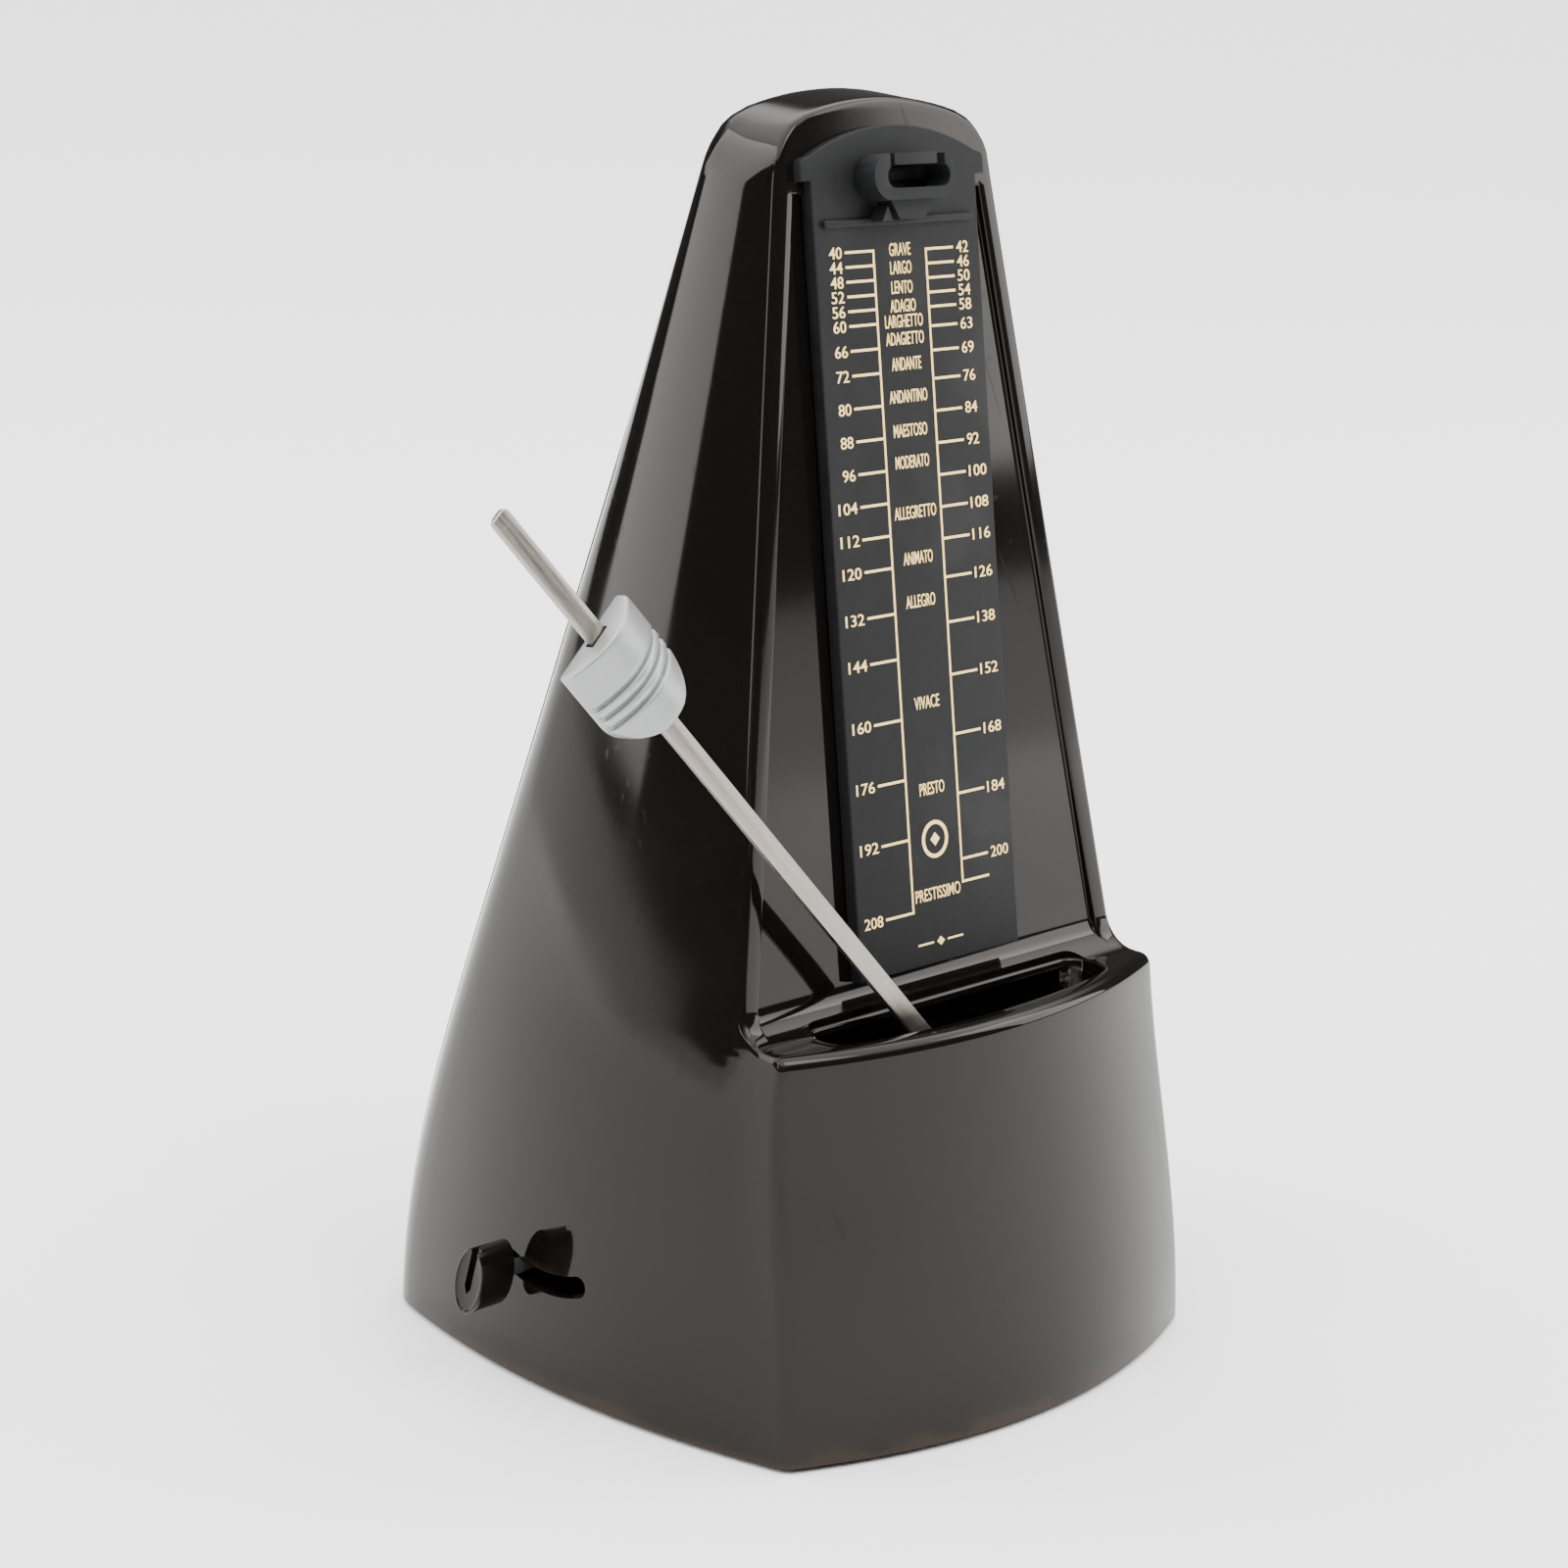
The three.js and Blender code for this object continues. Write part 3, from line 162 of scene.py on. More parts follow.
class Effect:
    """A shader node group with named inputs and outputs, built once and used by many materials."""

    def __init__(self, name: str, inputs: dict[str, tuple[Socket, float | None]], outputs: dict[str, Socket]) -> None:
        """Args:
        name: the group's name.
        inputs: each input's kind and its first value.
        outputs: each output's kind.
        """
        self.tree = bpy.data.node_groups.new(name, "ShaderNodeTree")
        for label, (kind, value) in inputs.items():
            socket = self.tree.interface.new_socket(label, in_out="INPUT", socket_type=kind.value)
            if value is not None:
                socket.default_value = value
        for label, kind in outputs.items():
            self.tree.interface.new_socket(label, in_out="OUTPUT", socket_type=kind.value)
        self.sheet = NodeSheet(self.tree)
        self.given = self.sheet.add("NodeGroupInput").outputs
        self.made = self.sheet.add("NodeGroupOutput").inputs

    def use(self, sheet: NodeSheet, vector: bpy.types.NodeSocket, **values: float) -> bpy.types.Node:
        """Places the effect in a material.

        Args:
            sheet: the material's nodes.
            vector: the position that the pattern follows.
            values: inputs by name, with _ for a space.

        Returns:
            The group's node in the material.
        """
        node = sheet.add("ShaderNodeGroup", node_tree=self.tree)
        sheet.link(vector, node.inputs["Position"])
        for label, value in values.items():
            node.inputs[label.replace("_", " ")].default_value = value
        return node


def grain_effect() -> Effect:
    """Fine moulded or cast grain: its height and a slow uneven mask."""
    effect = Effect(
        "Surface grain",
        {"Position": (Socket.VECTOR, None), "Fineness": (Socket.VALUE, 1500.0), "Patches": (Socket.VALUE, 30.0)},
        {"Height": Socket.VALUE, "Mask": Socket.VALUE},
    )
    sheet = effect.sheet
    for label, detail, source in (("Height", 2.0, "Fineness"), ("Mask", 4.0, "Patches")):
        node = sheet.add("ShaderNodeTexNoise")
        node.inputs["Detail"].default_value = detail
        sheet.link(effect.given["Position"], node.inputs["Vector"])
        sheet.link(effect.given[source], node.inputs["Scale"])
        sheet.link(node.outputs["Fac"], effect.made[label])
    return effect


def handling_effect() -> Effect:
    """Hairline scratches and smudges left by hands: a mask for each."""
    effect = Effect(
        "Handling marks",
        {"Position": (Socket.VECTOR, None), "Fineness": (Socket.VALUE, 60.0)},
        {"Scratches": Socket.VALUE, "Smudges": Socket.VALUE},
    )
    sheet = effect.sheet
    scaled = sheet.add("ShaderNodeVectorMath", operation="SCALE")
    sheet.link(effect.given["Position"], scaled.inputs[0])
    sheet.link(effect.given["Fineness"], scaled.inputs["Scale"])
    lines = []
    for turn in (0.5, 2.1):
        along = sheet.stretch(scaled.outputs[0], Euler((turn, 0.4 * turn, turn)), Vector((1, 26, 26)))
        lines.append(sheet.remap(sheet.noise(along, 0.6, 2.0, 0.6), (0.66, 0.72), (0.0, 1.0)))
    sheet.link(sheet.math("MAXIMUM", lines[0], lines[1]), effect.made["Scratches"])
    smudge = sheet.remap(sheet.noise(scaled.outputs[0], 0.5, 3.0, 0.6), (0.48, 0.72), (0.0, 1.0))
    sheet.link(smudge, effect.made["Smudges"])
    return effect


def edge_effect() -> Effect:
    """Where the surface turns sharply: a mask used for worn, paler edges, and for painted light at thin edges."""
    effect = Effect(
        "Edge light",
        {"Position": (Socket.VECTOR, None), "Fineness": (Socket.VALUE, 300.0), "Width": (Socket.VALUE, 0.08)},
        {"Edge": Socket.VALUE},
    )
    sheet = effect.sheet
    point = sheet.add("ShaderNodeNewGeometry").outputs["Pointiness"]
    node = sheet.add("ShaderNodeTexNoise")
    sheet.link(effect.given["Position"], node.inputs["Vector"])
    sheet.link(effect.given["Fineness"], node.inputs["Scale"])
    lift = sheet.math("SUBTRACT", point, 0.5)
    ratio = sheet.math("DIVIDE", lift, effect.given["Width"])
    broken = sheet.math("MULTIPLY", ratio, sheet.remap(node.outputs["Fac"], (0.3, 0.6), (0.4, 1.2)))
    sheet.link(sheet.remap(broken, (0.15, 1.0), (0.0, 1.0)), effect.made["Edge"])
    return effect


class Effects:
    """The effects that the materials share."""

    def __init__(self) -> None:
        """Builds each group once."""
        self.grain = grain_effect()
        self.handling = handling_effect()
        self.edge = edge_effect()


EFFECTS = Effects()


# ---------------------------------------------------------------- finishes
@dataclass(frozen=True)
class Finish:
    """A surface finish. Subclasses say how its nodes are laid."""

    name: str
    colour: tuple[float, float, float]
    roughness: float
    metallic: float = 0.0

    def rgba(self, factor: float = 1.0) -> tuple[float, float, float, float]:
        """The colour, made lighter or darker by a factor, with full alpha."""
        return (*(channel * factor for channel in self.colour), 1.0)

    def material(self) -> bpy.types.Material:
        """The finish's material, made the first time it is asked for."""
        made = bpy.data.materials.get(self.name)
        if made:
            return made
        material = bpy.data.materials.new(self.name)
        material.use_nodes = True
        material.node_tree.nodes.clear()
        sheet = NodeSheet(material.node_tree)
        shader = sheet.add("ShaderNodeBsdfPrincipled")
        shader.inputs["Metallic"].default_value = self.metallic
        output = sheet.add("ShaderNodeOutputMaterial")
        sheet.link(shader.outputs[0], output.inputs["Surface"])
        self.lay(sheet, shader, sheet.add("ShaderNodeTexCoord").outputs["Object"])
        return material

    def lay(self, sheet: NodeSheet, shader: bpy.types.Node, position: bpy.types.NodeSocket) -> None:
        """Lays the nodes that give colour, roughness and relief.

        Args:
            sheet: the material's nodes.
            shader: the Principled BSDF.
            position: the surface point in object coordinates.
        """
        raise NotImplementedError

    @staticmethod
    def relief(sheet: NodeSheet, shader: bpy.types.Node, height: bpy.types.NodeSocket, strength: float,
               distance: float) -> None:
        """Feeds a height into the shader's normal."""
        bump = sheet.add("ShaderNodeBump")
        bump.inputs["Strength"].default_value = strength
        bump.inputs["Distance"].default_value = distance
        sheet.link(height, bump.inputs["Height"])
        sheet.link(bump.outputs["Normal"], shader.inputs["Normal"])


@dataclass(frozen=True)
class PolishedPlastic(Finish):
    """Glossy dark moulding: hairlines, smudges, slight sink waves, and warm light painted into its colour at its edges.
    """

    # The painted light colour is a warm glow painted on sharp edges; the painted rim height is how far up the bottom
    # rim's painted glow reaches (0 for none).
    edge_colour: tuple[float, float, float] = (0.05, 0.03, 0.02)
    sheen: tuple[float, float, float] = (1.0, 0.93, 0.87)
    wave: float = 0.00002
    rim_height: float = 0.0

    def lay(self, sheet: NodeSheet, shader: bpy.types.Node, position: bpy.types.NodeSocket) -> None:
        """Dark body colour with painted light: a warm glow painted on its sharp edges and along its bottom rim,
        standing in for light through the thin plastic, and a wavy polish.
        """
        grain = EFFECTS.grain.use(sheet, position, Fineness=2600.0, Patches=9.0)
        marks = EFFECTS.handling.use(sheet, position, Fineness=34.0)
        edge = EFFECTS.edge.use(sheet, position, Fineness=90.0, Width=0.09)
        cloud = sheet.mix(grain.outputs["Mask"], self.rgba(0.7), self.rgba(1.3))
        # Painted light: sharp edges are tinted warm, standing in for light shining through the thin plastic.
        colour = sheet.mix(edge.outputs["Edge"], cloud, (*self.edge_colour, 1.0))
        # Painted light: a warm glow painted along the bottom rim, fading upwards, standing in for light through the
        # plastic's edge.
        if self.rim_height:
            height = sheet.add("ShaderNodeSeparateXYZ")
            sheet.link(position, height.inputs[0])
            painted_rim_glow = sheet.remap(height.outputs["Z"], (0.001, self.rim_height), (0.85, 0.0))
            colour = sheet.mix(painted_rim_glow, colour, (*self.edge_colour, 1.0))
        sheet.link(colour, shader.inputs["Base Color"])
        smudged = sheet.remap(marks.outputs["Smudges"], (0.0, 1.0), (self.roughness, self.roughness + 0.035))
        scratched = sheet.math("MULTIPLY", marks.outputs["Scratches"], 0.05)
        sheet.link(sheet.math("ADD", smudged, scratched), shader.inputs["Roughness"])
        shader.inputs["IOR"].default_value = 1.52
        shader.inputs["Specular IOR Level"].default_value = 0.22
        shader.inputs["Specular Tint"].default_value = (*self.sheen, 1.0)
        slow = sheet.noise(position, 26.0, 1.0)
        self.relief(sheet, shader, slow, 1.0, self.wave)


@dataclass(frozen=True)
class MattePlastic(Finish):
    """Spark-textured dark moulding with paler worn edges."""

    fineness: float = 2400.0

    def lay(self, sheet: NodeSheet, shader: bpy.types.Node, position: bpy.types.NodeSocket) -> None:
        """Fine grain in relief, an uneven sheen and lighter edges."""
        grain = EFFECTS.grain.use(sheet, position, Fineness=self.fineness, Patches=60.0)
        marks = EFFECTS.handling.use(sheet, position, Fineness=70.0)
        edge = EFFECTS.edge.use(sheet, position, Fineness=500.0, Width=0.07)
        body = sheet.mix(grain.outputs["Mask"], self.rgba(0.8), self.rgba(1.2))
        sheet.link(sheet.mix(edge.outputs["Edge"], body, self.rgba(2.2)), shader.inputs["Base Color"])
        shader.inputs["Specular IOR Level"].default_value = 0.25
        rough = sheet.remap(marks.outputs["Smudges"], (0.0, 1.0), (self.roughness + 0.05, self.roughness - 0.05))
        sheet.link(rough, shader.inputs["Roughness"])
        self.relief(sheet, shader, grain.outputs["Height"], 0.5, 0.00003)


@dataclass(frozen=True)
class BrushedMetal(Finish):
    """Rolled or turned metal with streaks along one direction and small dents."""

    turn: Euler = Euler((0, 0, 0))
    across: Vector = Vector((1, 1, 0.04))
    fineness: float = 1800.0
    dents: float = 0.00001

    def lay(self, sheet: NodeSheet, shader: bpy.types.Node, position: bpy.types.NodeSocket) -> None:
        """Streaks in colour, roughness and relief, with a little tarnish in patches."""
        along = sheet.stretch(position, self.turn, self.across)
        streaks = sheet.noise(along, self.fineness, 4.0, 0.7)
        grain = EFFECTS.grain.use(sheet, position, Fineness=420.0, Patches=85.0)
        marks = EFFECTS.handling.use(sheet, position, Fineness=120.0)
        body = sheet.mix(streaks, self.rgba(0.82), self.rgba(1.1))
        tarnish = sheet.remap(grain.outputs["Mask"], (0.5, 0.75), (0.0, 0.35))
        dulled = sheet.mix(tarnish, body, self.rgba(0.7))
        sheet.link(sheet.mix(marks.outputs["Scratches"], dulled, self.rgba(1.25)), shader.inputs["Base Color"])
        rough = sheet.remap(streaks, (0.3, 0.7), (self.roughness - 0.07, self.roughness + 0.09))
        sheet.link(sheet.math("ADD", rough, sheet.math("MULTIPLY", marks.outputs["Smudges"], 0.06)),
                   shader.inputs["Roughness"])
        pits = sheet.remap(grain.outputs["Height"], (0.62, 0.75), (1.0, 0.0))
        self.relief(sheet, shader, sheet.math("ADD", sheet.math("MULTIPLY", streaks, 0.25), pits), 0.6, self.dents)


@dataclass(frozen=True)
class CastLacquer(Finish):
    """Silver lacquer over a casting: fine sparkle and a soft orange-peel surface."""

    sparkle: float = 5200.0

    def lay(self, sheet: NodeSheet, shader: bpy.types.Node, position: bpy.types.NodeSocket) -> None:
        """Speckled silver with darker patches and lighter edges."""
        flakes = sheet.noise(position, self.sparkle, 1.0)
        grain = EFFECTS.grain.use(sheet, position, Fineness=900.0, Patches=140.0)
        edge = EFFECTS.edge.use(sheet, position, Fineness=800.0, Width=0.1)
        body = sheet.mix(sheet.remap(flakes, (0.35, 0.65), (0.0, 1.0)), self.rgba(0.9), self.rgba(1.07))
        patch = sheet.remap(grain.outputs["Mask"], (0.55, 0.8), (0.0, 0.25))
        sheet.link(sheet.mix(edge.outputs["Edge"], sheet.mix(patch, body, self.rgba(0.86)), self.rgba(1.2)),
                   shader.inputs["Base Color"])
        sheet.link(sheet.remap(flakes, (0.3, 0.7), (self.roughness - 0.06, self.roughness + 0.06)),
                   shader.inputs["Roughness"])
        self.relief(sheet, shader, grain.outputs["Height"], 0.35, 0.00004)


@dataclass(frozen=True)
class PrintedInk(Finish):
    """Hot-stamped gold foil on raised figures, with small thin spots."""

    thin_colour: tuple[float, float, float] = (0.5, 0.36, 0.18)

    def lay(self, sheet: NodeSheet, shader: bpy.types.Node, position: bpy.types.NodeSocket) -> None:
        """Cream gold, slightly thinner in spots and at its edges."""
        grain = EFFECTS.grain.use(sheet, position, Fineness=3000.0, Patches=900.0)
        thin = sheet.remap(grain.outputs["Mask"], (0.56, 0.8), (0.0, 0.6))
        sheet.link(sheet.mix(thin, self.rgba(), (*self.thin_colour, 1.0)), shader.inputs["Base Color"])
        sheet.link(sheet.remap(grain.outputs["Height"], (0.3, 0.7), (self.roughness, self.roughness + 0.15)),
                   shader.inputs["Roughness"])
        self.relief(sheet, shader, grain.outputs["Height"], 0.3, 0.00002)


def pendulum_grain() -> Euler:
    """The turn that brings the pendulum's rod upright, so that its grain runs along it."""
    return pendulum_matrix().to_3x3().inverted().to_euler()


# On the smoky case, the painted light colour is a warm glow painted on its sharp edges and its bottom 2.2 mm, standing
# in for light through the plastic; on the button it is a painted highlight along its edges.
SMOKY = PolishedPlastic("Smoky polished plastic", (0.0035, 0.0029, 0.0025), 0.06,
                        edge_colour=(0.018, 0.011, 0.007), rim_height=0.0022)
KNOB_BLACK = PolishedPlastic("Black polished plastic", (0.0012, 0.0012, 0.0013), 0.12,
                             edge_colour=(0.012, 0.011, 0.010), wave=0.000004)
PLATE_BLACK = MattePlastic("Matte black plastic", (0.0016, 0.0017, 0.002), 0.6)
BASE_BLACK = MattePlastic("Base plastic", (0.012, 0.012, 0.012), 0.6, fineness=1300.0)
RUBBER = MattePlastic("Foot rubber", (0.016, 0.015, 0.015), 0.82, fineness=3200.0)
ROD_STEEL = BrushedMetal("Rolled rod steel", (0.31, 0.28, 0.25), 0.33, 1.0, turn=pendulum_grain())
TURNED_STEEL = BrushedMetal("Turned steel", (0.46, 0.45, 0.43), 0.3, 1.0, across=Vector((0.05, 1, 1)))
SPRING_STEEL = BrushedMetal("Blued spring steel", (0.06, 0.075, 0.11), 0.28, 1.0, across=Vector((1, 0.1, 0.1)))
BRASS = BrushedMetal("Rolled brass", (0.62, 0.43, 0.17), 0.34, 1.0, across=Vector((1, 0.06, 1)))
NICKEL = BrushedMetal("Nickel plate", (0.62, 0.6, 0.56), 0.2, 1.0, across=Vector((0.1, 1, 1)), fineness=900.0)
CAST_SILVER = CastLacquer("Silver lacquer", (0.29, 0.302, 0.294), 0.40, 0.6)
GOLD_PRINT = PrintedInk("Gold print", (1.0, 0.72, 0.30), 0.5)


# ---------------------------------------------------------------- building pieces
@dataclass(frozen=True)
class Piece:
    """How a finished mesh joins the object."""

    name: str
    body: str
    slot: str
    finish: Finish
    replaces: tuple[str, ...] = ()
    crease: float = 32.0
    bevel: float = 0.0
    bevel_from: float = 30.0
    bevel_steps: int = 2


def quick_object(name: str, bm: bmesh.types.BMesh) -> bpy.types.Object:
    """An object in the scene that holds a bmesh's shape in millimetres."""
    mesh = bpy.data.meshes.new(name)
    bm.to_mesh(mesh)
    bm.free()
    thing = bpy.data.objects.new(name, mesh)
    bpy.context.scene.collection.objects.link(thing)
    return thing


def settle(thing: bpy.types.Object) -> None:
    """Applies an object's modifiers to its mesh."""
    view = bpy.context.evaluated_depsgraph_get()
    made = bpy.data.meshes.new_from_object(thing.evaluated_get(view))
    thing.modifiers.clear()
    thing.data = made


def carve(bm: bmesh.types.BMesh, tools: Iterable[bmesh.types.BMesh]) -> bmesh.types.BMesh:
    """Cuts closed shapes out of a closed shape.

    Args:
        bm: the shape that is cut. It is used up.
        tools: the shapes taken away. They are used up.

    Returns:
        The cut shape.
    """
    base = quick_object("carved", bm)
    cutters = [quick_object(f"cutter_{i}", tool) for i, tool in enumerate(tools)]
    for cutter in cutters:
        change = base.modifiers.new("cut", "BOOLEAN")
        change.operation = "DIFFERENCE"
        change.solver = "MANIFOLD"
        change.object = cutter
    settle(base)
    result = bmesh.new()
    result.from_mesh(base.data)
    for thing in (base, *cutters):
        bpy.data.objects.remove(thing)
    bmesh.ops.remove_doubles(result, verts=result.verts, dist=0.004)
    return result


def finish_piece(bm: bmesh.types.BMesh, piece: Piece, place: Matrix | None = None) -> bpy.types.Object:
    """Turns a shape in millimetres into a finished piece in metres.

    Args:
        bm: the shape. It is used up.
        piece: the piece's name, body and finish; its slot is not used.
        place: where it goes, in millimetres.

    Returns:
        The piece's object.
    """
    if place:
        bm.transform(place)
    thing = quick_object(piece.name, bm)
    if piece.bevel:
        change = thing.modifiers.new("soft edges", "BEVEL")
        change.width = piece.bevel
        change.segments = piece.bevel_steps
        change.limit_method = "ANGLE"
        change.angle_limit = math.radians(piece.bevel_from)
        settle(thing)
    thing.data.transform(Matrix.Scale(MM, 4))
    thing.data.shade_smooth()
    thing.data.set_sharp_from_angle(angle=math.radians(piece.crease))
    thing.data.materials.clear()
    thing.data.materials.append(piece.finish.material())
    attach(thing, piece.body)
    if piece.replaces:
        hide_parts(*piece.replaces)
    LOG.info("%s: %d faces, on body %s", piece.name, len(thing.data.polygons), piece.body)
    return thing


def flat_face(bm: bmesh.types.BMesh, points: Sequence[Sequence[float]]) -> bmesh.types.BMFace:
    """One face through points given as (x, y) or (x, y, z)."""
    return bm.faces.new([bm.verts.new((p[0], p[1], p[2] if len(p) > 2 else 0.0)) for p in points])


def slab(points: Sequence[Point], low: float, high: float) -> bmesh.types.BMesh:
    """An outline in x and y, pushed from z = low to z = high.

    Args:
        points: the outline.
        low: where the slab starts.
        high: where it ends.

    Returns:
        The closed slab.
    """
    bm = bmesh.new()
    face = flat_face(bm, [(x, y, low) for x, y in points])
    pushed = bmesh.ops.extrude_face_region(bm, geom=[face])
    moved = [v for v in pushed["geom"] if isinstance(v, bmesh.types.BMVert)]
    bmesh.ops.translate(bm, verts=moved, vec=(0, 0, high - low))
    bmesh.ops.recalc_face_normals(bm, faces=bm.faces)
    return bm


def block(low: Vector, high: Vector) -> bmesh.types.BMesh:
    """A box between two corners."""
    bm = bmesh.new()
    bmesh.ops.create_cube(bm, size=1.0)
    size = high - low
    bmesh.ops.scale(bm, verts=bm.verts, vec=size)
    bmesh.ops.translate(bm, verts=bm.verts, vec=(low + high) / 2)
    return bm


def turned(profile: Sequence[Point], steps: int = 48) -> bmesh.types.BMesh:
    """A round piece about Z from (radius, height) pairs that start and end on the axis.

    Args:
        profile: the outline of half the piece.
        steps: how many sides the piece has.

    Returns:
        The closed turned shape.
    """
    bm = bmesh.new()
    verts = [bm.verts.new((r, 0, z)) for r, z in profile]
    edges = [bm.edges.new(pair) for pair in zip(verts, verts[1:])]
    bmesh.ops.spin(bm, geom=[*verts, *edges], cent=(0, 0, 0), axis=(0, 0, 1), angle=2 * math.pi, steps=steps,
                   use_merge=True)
    bmesh.ops.remove_doubles(bm, verts=bm.verts, dist=1e-4)
    bmesh.ops.recalc_face_normals(bm, faces=bm.faces)
    return bm


def soften(bm: bmesh.types.BMesh, edges: Sequence[bmesh.types.BMEdge], offset: float, steps: int = 3) -> None:
    """Rounds edges over an offset."""
    bmesh.ops.bevel(bm, geom=edges, offset=offset, offset_type="OFFSET", affect="EDGES", segments=steps, profile=0.5,
                    material=-1)


def loft(rings: Iterable[Sequence[Sequence[float]]]) -> bmesh.types.BMesh:
    """A closed shape through rings of points, which all have the same number of points."""
    bm = bmesh.new()
    loops = []
    for ring in rings:
        verts = [bm.verts.new(point) for point in ring]
        loops.append([bm.edges.new(pair) for pair in zip(verts, [*verts[1:], verts[0]])])
    for low, high in zip(loops, loops[1:]):
        bmesh.ops.bridge_loops(bm, edges=[*low, *high])
    bmesh.ops.holes_fill(bm, edges=bm.edges, sides=0)
    bmesh.ops.recalc_face_normals(bm, faces=bm.faces)
    return bm


def arc(centre: Point, radius: float, start: float, end: float, steps: int) -> list[Point]:
    """Points along an arc, with its angles in degrees."""
    angles = [math.radians(lerp(start, end, i / steps)) for i in range(steps + 1)]
    return [(centre[0] + radius * math.cos(a), centre[1] + radius * math.sin(a)) for a in angles]


def bend(a: Point, b: Point, c: Point, steps: int) -> list[Point]:
    """Points along a curve from a to c that leaves and arrives towards b."""
    shares = [i / steps for i in range(steps + 1)]
    return [tuple((1 - t) ** 2 * p + 2 * t * (1 - t) * q + t * t * r for p, q, r in zip(a, b, c)) for t in shares]


def bezier(a: Point, b: Point, c: Point, d: Point, steps: int) -> list[Point]:
    """Points along a cubic curve."""
    shares = [i / steps for i in range(steps + 1)]
    weights = [((1 - t) ** 3, 3 * t * (1 - t) ** 2, 3 * t * t * (1 - t), t ** 3) for t in shares]
    return [tuple(sum(w * p[k] for w, p in zip(weight, (a, b, c, d))) for k in (0, 1)) for weight in weights]


def stadium(low: float, high: float, centre: float, radius: float, steps: int = 12) -> list[Point]:
    """An outline of two half circles joined by straight sides."""
    return [*arc((high - radius, centre), radius, -90, 90, steps), *arc((low + radius, centre), radius, 90, 270, steps)]


def absorb(bm: bmesh.types.BMesh, other: bmesh.types.BMesh, place: Matrix | None = None) -> None:
    """Adds another shape to a shape as a separate shell. The other is used up."""
    if place:
        other.transform(place)
    holder = bpy.data.meshes.new("absorbed")
    other.to_mesh(holder)
    other.free()
    bm.from_mesh(holder)
    bpy.data.meshes.remove(holder)


# Turns a slab drawn in x and z of a front view, with its depth as z, to face -Y.
FACING_FRONT = Matrix(((1, 0, 0, 0), (0, 0, -1, 0), (0, 1, 0, 0), (0, 0, 0, 1)))
# Turns a slab drawn in y and z of a side view, with its depth as z, to lie along X.
FACING_SIDE = Matrix(((0, 0, 1, 0), (1, 0, 0, 0), (0, 1, 0, 0), (0, 0, 0, 1)))


